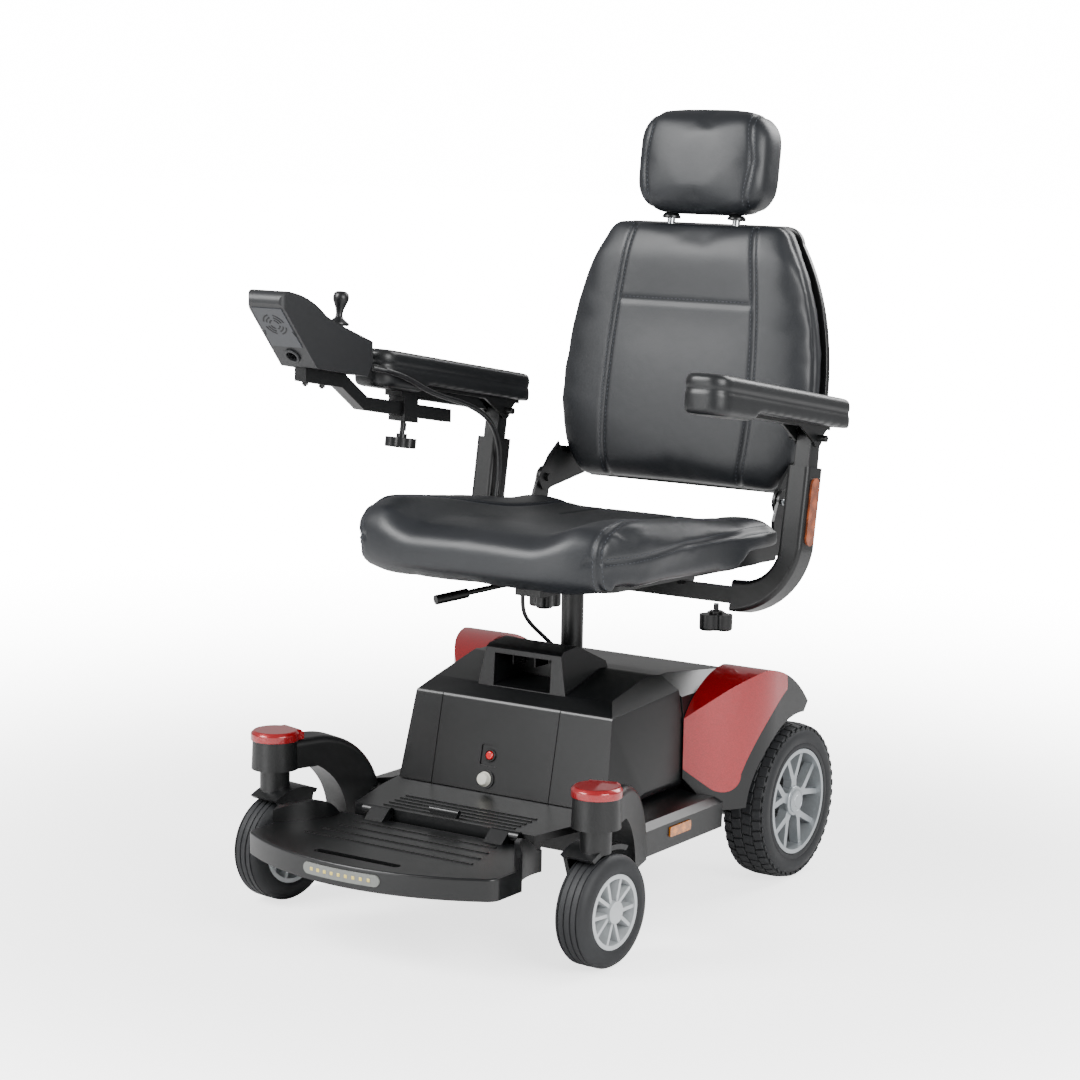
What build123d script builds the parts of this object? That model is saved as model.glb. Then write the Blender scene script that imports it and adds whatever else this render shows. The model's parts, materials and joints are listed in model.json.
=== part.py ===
"""Power wheelchair with a swivelling captain's seat on a compact base.

Millimetres. +Z is up, the chair faces -Y, and the occupant's left is +X. Every piece
is drawn from a datum between the axles, and write() moves it back by MIDDLE_Y, which
puts the origin on the ground midway between the front and the back.
"""

from build123d import *
import os
from math import atan, cos, degrees, radians, sin, tan

os.makedirs("parts", exist_ok=True)

# ---------------------------------------------------------------- clearances
GAP = 0.3  # between faces of pieces that move past each other
SEAM = 1.2  # visible joint between body panels
RUN = 0.05  # radial clearance of a running fit
SKIN = 0.05  # between a tyre and its rim
MIDDLE_Y = 14  # from the drawing datum to the middle of the chair's length

# ---------------------------------------------------------------- wheels
WHEEL_R = 114.3
WHEEL_W = 68
WHEEL_X = 239
WHEEL_Y = 260
RIM_R = 77.5
RIM_W = 64
RIM_WALL = 6
AXLE_R = 10
SPOKES = 5
CASTER_R = 76.2
CASTER_W = 50
CASTER_RIM_R = 50.3
CASTER_X = 267.4
CASTER_Y = -290
CASTER_TRAIL = 14.5
CASTER_TURN = {"left": -3.5, "right": -7.5}
CASTER_AXLE_R = 6
FORK_GAP = 3.5
FORK_LEG = 6.5
STEM_R = 15
COLLAR_R = 21

# ---------------------------------------------------------------- base
DECK_Z = 158
FLOOR_Z = 100
FLOOR_T = 6
FRONT_BEAM_Y = -138
CASE_FRONT_Y = -120
CASE_FRONT_W = 352
CASE_REAR_W = 374
SEAM_LOW_Y = 84
SEAM_LEAN = 12.5
CASE_TOP_Z = 325
HOOD_W = 154
HANDLE_W = 96
HOUSING_R = 33
HOUSING_Z = 190
CAP_Z = 231
CAP_T = 14
ARM_W = 50
SKIRT_X = 235
FENDER_X = 268
FENDER_PANEL_T = 4
MOTOR_R = 40

# ---------------------------------------------------------------- footplate
FOOT_W = 406
FOOT_TOP = 139
FOOT_T = 30
FOOT_REAR_Y = -270
FOOT_CORNER_Y = -426
FOOT_FRONT_Y = -488
FOOT_PIVOT_Y = -262
FOOT_PIVOT_Z = 148
LIGHT_W = 124
LIGHT_H = 16

# ---------------------------------------------------------------- seat
POST_Y = 59
POST_R = 16.2
POST_TOP = 452
SEAT_W = 456
SEAT_L = 477
SEAT_Z = 466.5
SEAT_TILT = 1.5
SEAT_T = 72
TUBE = 25
TUBE_WALL = 2.2

# ---------------------------------------------------------------- backrest
BACK_TILT = 7.5
BACK_Y = 319
BACK_Z = 562
BACK_T = 55
SHELL_T = 16
BACK_PIVOT_Y = 295
BACK_PIVOT_Z = 549
HEAD_W = 230
HEAD_H = 157
HEAD_T = 78
HEAD_RISE = 404
HEAD_POST_X = 57
HEAD_POST_R = 6

# ---------------------------------------------------------------- arms
ARM_TILT = 9.4
ARM_X = 271
PAD_X = 278
PAD_W = 70
PAD_L = 388
BOLT_Y = 255
BOLT_Z = 652
RECEIVER_W = 36
RECEIVER_D = 46
UPRIGHT_W = 24
UPRIGHT_D = 25
ELBOW_R = 72
KNOB_R = 26

# ---------------------------------------------------------------- controller
BAR = 20
BAR_DROP = 20
BAR_RISE = 28
POD_W = 64
POD_SOCKET_R = 8.2
POD_SOCKET_L = 12
STICK_TILT = 9.4
CABLE_R = 4
POST_CABLE_R = 3


def write(piece, label):
    """Name a finished piece and write it as parts/<label>.step."""
    placed = Pos(0, MIDDLE_Y, 0) * piece
    placed.label = label
    export_step(placed, f"parts/{label}.step")


def write_pair(piece, name):
    """Write a left-hand piece and its mirror image on the right."""
    write(piece, f"{name}_left")
    write(mirror(piece, about=Plane.YZ), f"{name}_right")


def cross_plane(x):
    """Side plane at x: local x runs along +Y and local y runs along +Z."""
    return Plane(origin=(x, 0, 0), x_dir=(0, 1, 0), z_dir=(1, 0, 0))


def rail_z(y, off=0):
    """Height of a line parallel to the armrests, off above the armrest bolt."""
    return BOLT_Z - (y - BOLT_Y) * tan(radians(ARM_TILT)) + off


# ================================================================ drive wheels
wheel_plane = Plane(origin=(WHEEL_X, WHEEL_Y, WHEEL_R), x_dir=(0, 1, 0), z_dir=(1, 0, 0))

with BuildPart() as drive_tyre:
    with BuildSketch(wheel_plane):
        Circle(WHEEL_R)
        Circle(RIM_R + SKIN, mode=Mode.SUBTRACT)
    extrude(amount=WHEEL_W / 2, both=True)
    outer = drive_tyre.edges().filter_by(GeomType.CIRCLE).group_by(SortBy.RADIUS)[-1]
    fillet(outer, 17)
write_pair(drive_tyre.part, "drive_tyre")

HUB_R = 20
HUB_IN = -29
HUB_OUT = 22
SPOKE_IN = 10
SPOKE_OUT = 24
reach = RIM_R - RIM_WALL + 2
with BuildPart() as drive_rim:
    with BuildSketch(wheel_plane):
        Circle(RIM_R)
        Circle(RIM_R - RIM_WALL, mode=Mode.SUBTRACT)
    extrude(amount=RIM_W / 2, both=True)
    with BuildSketch(wheel_plane.offset(-14)):
        Circle(RIM_R - RIM_WALL / 2)
    extrude(amount=5)
    with BuildSketch(wheel_plane.offset(HUB_IN)):
        Circle(HUB_R)
    extrude(amount=HUB_OUT - HUB_IN)
    with BuildSketch(wheel_plane.offset(SPOKE_IN)):
        with PolarLocations(0, SPOKES, start_angle=90):
            Polygon(
                (12, -8),
                (30, -7),
                (reach * cos(radians(21)), -reach * sin(radians(21))),
                (reach * cos(radians(15)), -reach * sin(radians(15))),
                (36, 0),
                (reach * cos(radians(15)), reach * sin(radians(15))),
                (reach * cos(radians(21)), reach * sin(radians(21))),
                (30, 7),
                (12, 8),
                align=None,
            )
    extrude(amount=SPOKE_OUT - SPOKE_IN)
    with BuildSketch(wheel_plane.offset(HUB_OUT)):
        Circle(HUB_R + 2)
    extrude(amount=6)
    dome = drive_rim.faces().sort_by(Axis.X)[-2:].edges().filter_by(GeomType.CIRCLE)
    fillet(dome.group_by(SortBy.RADIUS)[0], 2.5)
    with BuildSketch(wheel_plane.offset(HUB_IN)):
        Circle(AXLE_R + RUN)
    extrude(amount=HUB_OUT - HUB_IN - 4, mode=Mode.SUBTRACT)
write_pair(drive_rim.part, "drive_rim")

# ================================================================ casters
CROWN_R = CASTER_R + 6
CROWN_T = 7
LEG_IN = CASTER_W / 2 + FORK_GAP
HUB_CAP = 5
for side, sx in (("left", 1), ("right", -1)):
    turn = radians(CASTER_TURN[side])
    steer = Plane(
        origin=(sx * CASTER_X, CASTER_Y, 0), x_dir=(cos(turn), sin(turn), 0), z_dir=(0, 0, 1)
    )
    axle = Plane(
        origin=steer.from_local_coords(Vector(0, CASTER_TRAIL, CASTER_R)),
        x_dir=steer.y_dir,
        z_dir=steer.x_dir,
    )

    with BuildPart() as caster_tyre:
        with BuildSketch(axle):
            Circle(CASTER_R)
            Circle(CASTER_RIM_R + SKIN, mode=Mode.SUBTRACT)
        extrude(amount=CASTER_W / 2, both=True)
        outer = caster_tyre.edges().filter_by(GeomType.CIRCLE).group_by(SortBy.RADIUS)[-1]
        fillet(outer, 13)
        for groove in (-11, 0, 11):
            with BuildSketch(axle.offset(groove)):
                Circle(CASTER_R + 1)
                Circle(CASTER_R - 2, mode=Mode.SUBTRACT)
            extrude(amount=1, both=True, mode=Mode.SUBTRACT)
    write(caster_tyre.part, f"caster_tyre_{side}")

    with BuildPart() as caster_rim:
        with BuildSketch(axle):
            Circle(CASTER_RIM_R)
            Circle(CASTER_RIM_R - 6, mode=Mode.SUBTRACT)
        extrude(amount=CASTER_W / 2 - 2, both=True)
        with BuildSketch(axle):
            Circle(CASTER_RIM_R - 3)
        extrude(amount=2, both=True)
        with BuildSketch(axle):
            Circle(15)
        extrude(amount=CASTER_W / 2, both=True)
        with BuildSketch(axle):
            with PolarLocations(0, SPOKES, start_angle=90):
                Polygon((10, -3), (46, -13), (44, -17.5), (10, -8), align=None)
                Polygon((10, 3), (46, 13), (44, 17.5), (10, 8), align=None)
        extrude(amount=CASTER_W / 2 - 4, both=True)
        with BuildSketch(axle.offset(-sx * CASTER_W / 2)):
            Circle(CASTER_AXLE_R + RUN)
        extrude(amount=sx * (CASTER_W - HUB_CAP), mode=Mode.SUBTRACT)
    write(caster_rim.part, f"caster_rim_{side}")

    inner = axle.offset(-sx * LEG_IN)
    leg_face = axle.offset(-sx * (LEG_IN + FORK_LEG))
    with BuildPart() as caster_fork:
        with BuildSketch(inner):
            with BuildLine():
                Polyline((-12, -2), (12, -2), (30, 92), (-46, 92), close=True)
            make_face()
            Circle(13)
            Circle(CROWN_R + CROWN_T, mode=Mode.INTERSECT)
        extrude(amount=-sx * FORK_LEG)
        with BuildSketch(leg_face):
            with BuildLine():
                Polyline((0, 40), (44, 92), (-64, 92), (0, 40))
            make_face()
            Circle(CROWN_R + CROWN_T, mode=Mode.INTERSECT)
            Circle(CROWN_R, mode=Mode.SUBTRACT)
        extrude(amount=sx * (LEG_IN + FORK_LEG + COLLAR_R - 4))
        with BuildSketch(steer.offset(CASTER_R + CROWN_R - 2)):
            Circle(COLLAR_R)
        extrude(amount=HOUSING_Z - 1.2 - CASTER_R - CROWN_R + 2)
        with BuildSketch(steer.offset(HOUSING_Z - 3)):
            Circle(STEM_R)
        extrude(amount=CAP_Z - HOUSING_Z - 3)
        with BuildSketch(leg_face):
            RegularPolygon(9, 6)
        extrude(amount=-sx * 5)
        with BuildSketch(inner):
            Circle(CASTER_AXLE_R)
        extrude(amount=sx * (LEG_IN + CASTER_W / 2 - HUB_CAP - 1))
    write(caster_fork.part, f"caster_fork_{side}")

# ================================================================ caster arms
ARM_END_X = 218
BEAM_H = 40
BEAM_Z = FLOOR_Z + FLOOR_T + BEAM_H / 2
BEAM_W = 26
run_x = ARM_END_X - CASTER_X
run_y = CASE_FRONT_Y - CASTER_Y
arm_dir = Vector(run_x, run_y, 0).normalized()
arm_plane = Plane(
    origin=(CASTER_X, CASTER_Y, 0), x_dir=arm_dir, z_dir=arm_dir.cross(Vector(0, 0, 1))
)
ARCH_S = 60
ARCH_R = 111
with BuildPart() as caster_arm:
    with BuildSketch(arm_plane):
        with BuildLine():
            Line((0, HOUSING_Z), (0, CAP_Z))
            Line((0, CAP_Z), (ARCH_S, CAP_Z))
            ThreePointArc(
                (ARCH_S, CAP_Z),
                (ARCH_S + ARCH_R * sin(radians(42)), CAP_Z - ARCH_R * (1 - cos(radians(42)))),
                (ARCH_S + ARCH_R * sin(radians(76)), CAP_Z - ARCH_R * (1 - cos(radians(76)))),
            )
            Line(
                (ARCH_S + ARCH_R * sin(radians(76)), CAP_Z - ARCH_R * (1 - cos(radians(76)))),
                (176, 106),
            )
            Line((176, 106), (108, 106))
            ThreePointArc((108, 106), (92, 158), (56, HOUSING_Z))
            Line((56, HOUSING_Z), (0, HOUSING_Z))
        make_face()
    extrude(amount=ARM_W / 2, both=True)
    fillet(caster_arm.edges().filter_by(GeomType.CIRCLE).sort_by(Axis.Z)[-2:], 10)
    with BuildSketch(Plane.XY.offset(HOUSING_Z)):
        with Locations((CASTER_X, CASTER_Y)):
            Circle(HOUSING_R)
    extrude(amount=CAP_Z - HOUSING_Z, taper=2)
    with BuildSketch(Plane.XY.offset(HOUSING_Z - 1)):
        with Locations((CASTER_X, CASTER_Y)):
            Circle(STEM_R + RUN)
    extrude(amount=CAP_Z - HOUSING_Z - 2, mode=Mode.SUBTRACT)
    with BuildSketch(Plane.XZ.offset(-CASE_FRONT_Y + 5.3)):
        Rectangle(900, 900)
    extrude(amount=-80, mode=Mode.SUBTRACT)
    with BuildSketch(cross_plane(0)):
        with Locations((FRONT_BEAM_Y, BEAM_Z)):
            Rectangle(BEAM_W, BEAM_H)
    extrude(amount=ARM_END_X + 8, mode=Mode.SUBTRACT)
write_pair(caster_arm.part, "caster_arm")

with BuildPart() as caster_cap:
    with BuildSketch(Plane.XY.offset(CAP_Z)):
        with Locations((CASTER_X, CASTER_Y)):
            Circle(HOUSING_R + 1)
            with Locations(Location(tuple(arm_dir * 17), degrees(atan(arm_dir.Y / arm_dir.X)))):
                Rectangle(34, ARM_W - 4)
    extrude(amount=CAP_T)
    chamfer(caster_cap.faces().sort_by(Axis.Z)[-1].edges(), 4)
write(caster_cap.part + mirror(caster_cap.part, about=Plane.YZ), "caster_caps")

# ================================================================ battery case
LEAN = tan(radians(SEAM_LEAN))
SHOULDER_Y = CASE_FRONT_Y + 27
SHOULDER_Z = DECK_Z + 126
HOOD_FRONT_Y = SHOULDER_Y + 26
HOOD_RIDGE_Y = HOOD_FRONT_Y + 45
HOOD_Z = CASE_TOP_Z + 38
SOCKET_R = 24
HANDLE_T = 15


def seam_y(z):
    """Where the joint between the battery case and the shroud lies at height z."""
    return SEAM_LOW_Y - (z - DECK_Z) * LEAN


front_low = Vector(CASE_FRONT_W / 2, CASE_FRONT_Y, DECK_Z)
front_high = Vector(CASE_FRONT_W / 2 - 10, SHOULDER_Y, SHOULDER_Z)
rear_high = Vector(CASE_REAR_W / 2 - 1, seam_y(304), 304)
crown = Vector(150, 26, CASE_TOP_Z)
side_plane = Plane(
    origin=front_low, z_dir=(rear_high - front_low).cross(front_high - front_low)
)
shoulder_plane = Plane(
    origin=front_high, z_dir=(rear_high - front_high).cross(crown - front_high)
)
seam_plane = Plane(origin=(0, SEAM_LOW_Y, DECK_Z), z_dir=(0, 1, LEAN))
front_plane = Plane(
    origin=(0, CASE_FRONT_Y, DECK_Z), x_dir=(1, 0, 0), z_dir=(0, -126, 27)
)
RESET_X = -26
RESET_V = 52
PORT_V = 18
RESET_R = 6

PANEL_SEAM_LOW_X = -119
PANEL_SEAM_HIGH_X = 81
PANEL_SEAM_W = 1.5
PANEL_SEAM_V = 64
PANEL_SEAM_L = 150
PANEL_SEAM_DEPTH = 1.2
with BuildPart() as battery_case:
    with BuildSketch(cross_plane(0)):
        Polygon(
            (CASE_FRONT_Y, DECK_Z),
            (SHOULDER_Y, SHOULDER_Z),
            (HOOD_FRONT_Y, SHOULDER_Z + 19),
            (26, CASE_TOP_Z),
            (SEAM_LOW_Y, CASE_TOP_Z - 4),
            (SEAM_LOW_Y, DECK_Z),
            align=None,
        )
    extrude(amount=CASE_REAR_W / 2)
    split(bisect_by=side_plane, keep=Keep.BOTTOM)
    split(bisect_by=shoulder_plane, keep=Keep.BOTTOM)
    upright = battery_case.edges().filter_by(lambda e: abs(e.length - 130) < 8)
    fillet(upright.sort_by(Axis.X)[-1:], 16)
    mirror(about=Plane.YZ)
    brow = battery_case.edges().filter_by(Axis.X).group_by(Axis.Y)[1]
    fillet(brow, 9)
    with BuildSketch(cross_plane(0)):
        Polygon(
            (HOOD_FRONT_Y - 4, SHOULDER_Z + 12),
            (HOOD_FRONT_Y, HOOD_Z - 8),
            (HOOD_FRONT_Y + 8, HOOD_Z - 3),
            (HOOD_RIDGE_Y, HOOD_Z),
            (SEAM_LOW_Y - 2, SHOULDER_Z + 32),
            (30, SHOULDER_Z + 12),
            align=None,
        )
    hood = extrude(amount=HOOD_W / 2, both=True, mode=Mode.PRIVATE)
    with BuildSketch(Plane.XZ):
        Polygon(
            (-HOOD_W / 2, SHOULDER_Z),
            (-HOOD_W / 2 + 15, HOOD_Z + 1),
            (HOOD_W / 2 - 15, HOOD_Z + 1),
            (HOOD_W / 2, SHOULDER_Z),
            align=None,
        )
    hood_front = extrude(amount=200, both=True, mode=Mode.PRIVATE)
    add(hood & hood_front)
    with BuildSketch(cross_plane(0)):
        Polygon(
            (HOOD_FRONT_Y - 30, SHOULDER_Z + 5),
            (HOOD_FRONT_Y - 30, HOOD_Z - HANDLE_T),
            (-12, HOOD_Z - HANDLE_T),
            (0, HOOD_Z - 2 * HANDLE_T),
            (0, SHOULDER_Z + 24),
            (HOOD_FRONT_Y, SHOULDER_Z + 19),
            align=None,
        )
    extrude(amount=HANDLE_W / 2, both=True, mode=Mode.SUBTRACT)
    with BuildSketch(Plane.XY.offset(DECK_Z)):
        with Locations((0, POST_Y + 150)):
            Rectangle(2 * (SOCKET_R + 3), 2 * 150 + 2 * (SOCKET_R + 4))
    extrude(amount=HOOD_Z, mode=Mode.SUBTRACT)
    split(bisect_by=seam_plane.offset(-SEAM / 2), keep=Keep.BOTTOM)
    with BuildSketch(front_plane):
        with Locations((RESET_X, RESET_V)):
            RectangleRounded(30, 30, 3)
    extrude(amount=-2, mode=Mode.SUBTRACT)
    with BuildSketch(front_plane.offset(-2)):
        with Locations((RESET_X, RESET_V)):
            Circle(RESET_R + GAP)
    extrude(amount=-10, mode=Mode.SUBTRACT)
    with BuildSketch(front_plane):
        with Locations((RESET_X, PORT_V)):
            Circle(13)
    extrude(amount=-3, mode=Mode.SUBTRACT)
    with BuildSketch(front_plane):
        with Locations((PANEL_SEAM_LOW_X, PANEL_SEAM_V), (PANEL_SEAM_HIGH_X, PANEL_SEAM_V)):
            Rectangle(PANEL_SEAM_W, PANEL_SEAM_L)
    extrude(amount=-PANEL_SEAM_DEPTH, mode=Mode.SUBTRACT)
write(battery_case.part, "battery_case")

with BuildPart() as reset_button:
    with BuildSketch(front_plane.offset(-8)):
        with Locations((RESET_X, RESET_V)):
            Circle(RESET_R)
    extrude(amount=10)
    fillet(reset_button.faces().sort_by(Axis.Y)[0].edges(), 2)
write(reset_button.part, "reset_button")

with BuildPart() as charge_port:
    with BuildSketch(front_plane.offset(-3)):
        with Locations((RESET_X, PORT_V)):
            Circle(13 - GAP / 3)
    extrude(amount=5)
    with BuildSketch(front_plane.offset(2)):
        with Locations((RESET_X - 3, PORT_V)):
            Circle(8.5)
    extrude(amount=5)
write(charge_port.part, "charge_port")

# ================================================================ base frame
RAIL_X = 110
RAIL_W = 40
RAIL_FRONT_Y = CASE_FRONT_Y + 14
RAIL_REAR_Y = WHEEL_Y - 30
RAIL_MID_Y = (RAIL_FRONT_Y + RAIL_REAR_Y) / 2
SOCKET_TOP = 296
MOTOR_Y = WHEEL_Y + 18
MOTOR_Z = WHEEL_R + 14
with BuildPart() as chassis_frame:
    with BuildSketch(Plane.XY.offset(FLOOR_Z)):
        with Locations((0, (FRONT_BEAM_Y + RAIL_REAR_Y) / 2)):
            Rectangle(2 * (RAIL_X + RAIL_W), RAIL_REAR_Y - FRONT_BEAM_Y)
    extrude(amount=FLOOR_T)
    with BuildSketch(Plane.XY.offset(FLOOR_Z + FLOOR_T)):
        with Locations((-RAIL_X, RAIL_MID_Y), (RAIL_X, RAIL_MID_Y)):
            Rectangle(RAIL_W, RAIL_REAR_Y - RAIL_FRONT_Y)
        with Locations((0, POST_Y), (0, RAIL_REAR_Y - 20)):
            Rectangle(2 * RAIL_X, 60)
        with Locations((0, RAIL_FRONT_Y + 10)):
            Rectangle(2 * RAIL_X, 20)
    extrude(amount=DECK_Z - FLOOR_Z - FLOOR_T)
    with BuildSketch(cross_plane(0)):
        with Locations((FRONT_BEAM_Y, BEAM_Z)):
            Rectangle(BEAM_W, BEAM_H)
    extrude(amount=ARM_END_X + 8, both=True)
    with BuildSketch(Plane.XY.offset(DECK_Z - 2)):
        with Locations((0, POST_Y)):
            Circle(SOCKET_R)
    extrude(amount=SOCKET_TOP - DECK_Z + 2)
    with BuildSketch(Plane.XY.offset(FLOOR_Z + 12)):
        with Locations((0, POST_Y)):
            Circle(POST_R + RUN)
    extrude(amount=SOCKET_TOP - FLOOR_Z, mode=Mode.SUBTRACT)
    with BuildSketch(cross_plane(0)):
        with Locations((MOTOR_Y, MOTOR_Z)):
            Circle(MOTOR_R)
    extrude(amount=RAIL_X + RAIL_W, both=True, mode=Mode.SUBTRACT)
write(chassis_frame.part, "chassis_frame")

# ================================================================ rear shroud
SHROUD_REAR_Y = 236
SHROUD_TOP = 312
SHROUD_W = 378
with BuildPart() as rear_shroud:
    with BuildSketch(cross_plane(0)):
        with BuildLine():
            Polyline(
                (20, DECK_Z + 1),
                (20, CASE_TOP_Z - 2),
                (70, CASE_TOP_Z - 2),
                (SHROUD_REAR_Y - 30, SHROUD_TOP - 2),
            )
            ThreePointArc(
                (SHROUD_REAR_Y - 30, SHROUD_TOP - 2),
                (SHROUD_REAR_Y - 7, SHROUD_TOP - 14),
                (SHROUD_REAR_Y, SHROUD_TOP - 40),
            )
            Polyline(
                (SHROUD_REAR_Y, SHROUD_TOP - 40),
                (SHROUD_REAR_Y, DECK_Z + 14),
                (SHROUD_REAR_Y - 30, DECK_Z + 1),
                (20, DECK_Z + 1),
            )
        make_face()
    extrude(amount=SHROUD_W / 2, both=True)
    split(bisect_by=seam_plane.offset(SEAM / 2), keep=Keep.TOP)
    with BuildSketch(Plane.XZ):
        Polygon(
            (-SHROUD_W / 2, DECK_Z),
            (-SHROUD_W / 2, SHROUD_TOP - 18),
            (-SHROUD_W / 2 + 36, CASE_TOP_Z),
            (SHROUD_W / 2 - 36, CASE_TOP_Z),
            (SHROUD_W / 2, SHROUD_TOP - 18),
            (SHROUD_W / 2, DECK_Z),
            align=None,
        )
    extrude(amount=300, both=True, mode=Mode.INTERSECT)
    with BuildSketch(Plane.XY.offset(DECK_Z)):
        with Locations((0, POST_Y)):
            Circle(SOCKET_R + 0.5)
    extrude(amount=HOOD_Z, mode=Mode.SUBTRACT)
write(rear_shroud.part, "rear_shroud")

# ================================================================ fenders
FENDER_IN = SHROUD_W / 2 + SEAM
FENDER_FRONT = SEAM_LOW_Y - 24


def fender_body(inset):
    """Bulging wheel cover, with its outer, front and top faces moved in by inset."""
    with BuildPart() as body:
        with BuildSketch(Plane.XY.offset(DECK_Z - 34)):
            with BuildLine():
                Line((FENDER_IN, WHEEL_Y + 40), (FENDER_IN, FENDER_FRONT + inset))
                ThreePointArc(
                    (FENDER_IN, FENDER_FRONT + inset),
                    (FENDER_IN + 45 - inset * 0.7, FENDER_FRONT + 38 + inset * 0.7),
                    (FENDER_X - inset, FENDER_FRONT + 130),
                )
                Line((FENDER_X - inset, FENDER_FRONT + 130), (FENDER_X - inset, WHEEL_Y + 40))
                Line((FENDER_X - inset, WHEEL_Y + 40), (FENDER_IN, WHEEL_Y + 40))
            make_face()
        extrude(amount=260)
        with BuildSketch(cross_plane(FENDER_IN - 5)):
            with BuildLine():
                Polyline((100, 128), (72, 152), (FENDER_FRONT, 176), (FENDER_FRONT, 262))
                ThreePointArc(
                    (FENDER_FRONT, 262),
                    (FENDER_FRONT + 52 + inset * 0.6, 308 - inset * 0.8),
                    (168, 324 - inset),
                )
                ThreePointArc(
                    (168, 324 - inset),
                    (232 - inset * 0.5, 304 - inset),
                    (286, 260),
                )
                Line((286, 260), (274, 246))
                ThreePointArc((274, 246), (WHEEL_Y - 93, WHEEL_R + 93), (131, 128))
                Line((131, 128), (100, 128))
            make_face()
        extrude(amount=FENDER_X, mode=Mode.INTERSECT)
    return body.part


with BuildPart() as leaf:
    with BuildSketch(cross_plane(FENDER_IN - 6)):
        with BuildLine():
            ThreePointArc((FENDER_FRONT - 5, 300), (100, 345), (176, 345))
            ThreePointArc((176, 345), (212, 324), (222, 288))
            ThreePointArc((222, 288), (158, 238), (122, 178))
            ThreePointArc((122, 178), (100, 154), (84, 160))
            ThreePointArc((84, 160), (68, 178), (FENDER_FRONT - 5, 196))
            Line((FENDER_FRONT - 5, 196), (FENDER_FRONT - 5, 300))
        make_face()
    extrude(amount=FENDER_X - FENDER_IN + 20)

fender_full = fender_body(0)
fender_core = fender_body(FENDER_PANEL_T)
fender_panel = (fender_full - fender_core) & leaf.part
fender = fender_full - ((fender_full - fender_core) & leaf.part)
write_pair(fender, "fender")
write_pair(fender_panel, "fender_panel")

# ================================================================ side skirts
SKIRT_IN = RAIL_X + RAIL_W + 30
SKIRT_FRONT = CASE_FRONT_Y - 4
DECK_T = 12
DECK_HALF_W = 184
REFLECTOR_Y = -22
REFLECTOR_Z = 127
REFLECTOR_L = 56
REFLECTOR_H = 14
with BuildPart() as side_skirt:
    with BuildSketch(Plane.XZ.offset(-SKIRT_FRONT)):
        Polygon(
            (SKIRT_IN - 30, 104),
            (SKIRT_X, 104),
            (SKIRT_X + 1, 140),
            (SKIRT_X - 8, 149),
            (SKIRT_IN + 4, DECK_Z - 1),
            (SKIRT_IN - 30, DECK_Z - 1),
            align=None,
        )
    extrude(amount=-222)
    with BuildSketch(Plane.XY.offset(DECK_Z - DECK_T - SEAM)):
        with Locations((0, SKIRT_FRONT)):
            Rectangle(2 * (DECK_HALF_W + SEAM), 2 * (RAIL_FRONT_Y - SKIRT_FRONT + SEAM))
    extrude(amount=DECK_T + SEAM, mode=Mode.SUBTRACT)
    with BuildSketch(cross_plane(SKIRT_X - 1)):
        with Locations((REFLECTOR_Y, REFLECTOR_Z)):
            RectangleRounded(REFLECTOR_L + 1, REFLECTOR_H + 1, 3)
    extrude(amount=10, mode=Mode.SUBTRACT)
skirt = side_skirt.part - fender_full
write(skirt + mirror(skirt, about=Plane.YZ), "side_skirts")

with BuildPart() as side_reflector:
    with BuildSketch(cross_plane(SKIRT_X - 1)):
        with Locations((REFLECTOR_Y, REFLECTOR_Z)):
            RectangleRounded(REFLECTOR_L, REFLECTOR_H, 3)
    extrude(amount=4)
write(side_reflector.part + mirror(side_reflector.part, about=Plane.YZ), "side_reflectors")

# ================================================================ drive motors
with BuildPart() as drive_motor:
    with BuildSketch(cross_plane(RAIL_X + RAIL_W + 1)):
        with Locations((WHEEL_Y, WHEEL_R)):
            Circle(38)
    extrude(amount=WHEEL_X - WHEEL_W / 2 - 6 - RAIL_X - RAIL_W - 1)
    with BuildSketch(cross_plane(RAIL_X + RAIL_W + 1)):
        with Locations((WHEEL_Y, WHEEL_R)):
            Circle(AXLE_R)
    extrude(amount=WHEEL_X + HUB_OUT - 8 - RAIL_X - RAIL_W - 1)
    with BuildSketch(cross_plane(20)):
        with Locations((MOTOR_Y, MOTOR_Z)):
            Circle(MOTOR_R)
    extrude(amount=RAIL_X + RAIL_W - 19)
    fillet(drive_motor.faces().sort_by(Axis.X)[0].edges(), 6)
write(drive_motor.part + mirror(drive_motor.part, about=Plane.YZ), "drive_motors")

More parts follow.
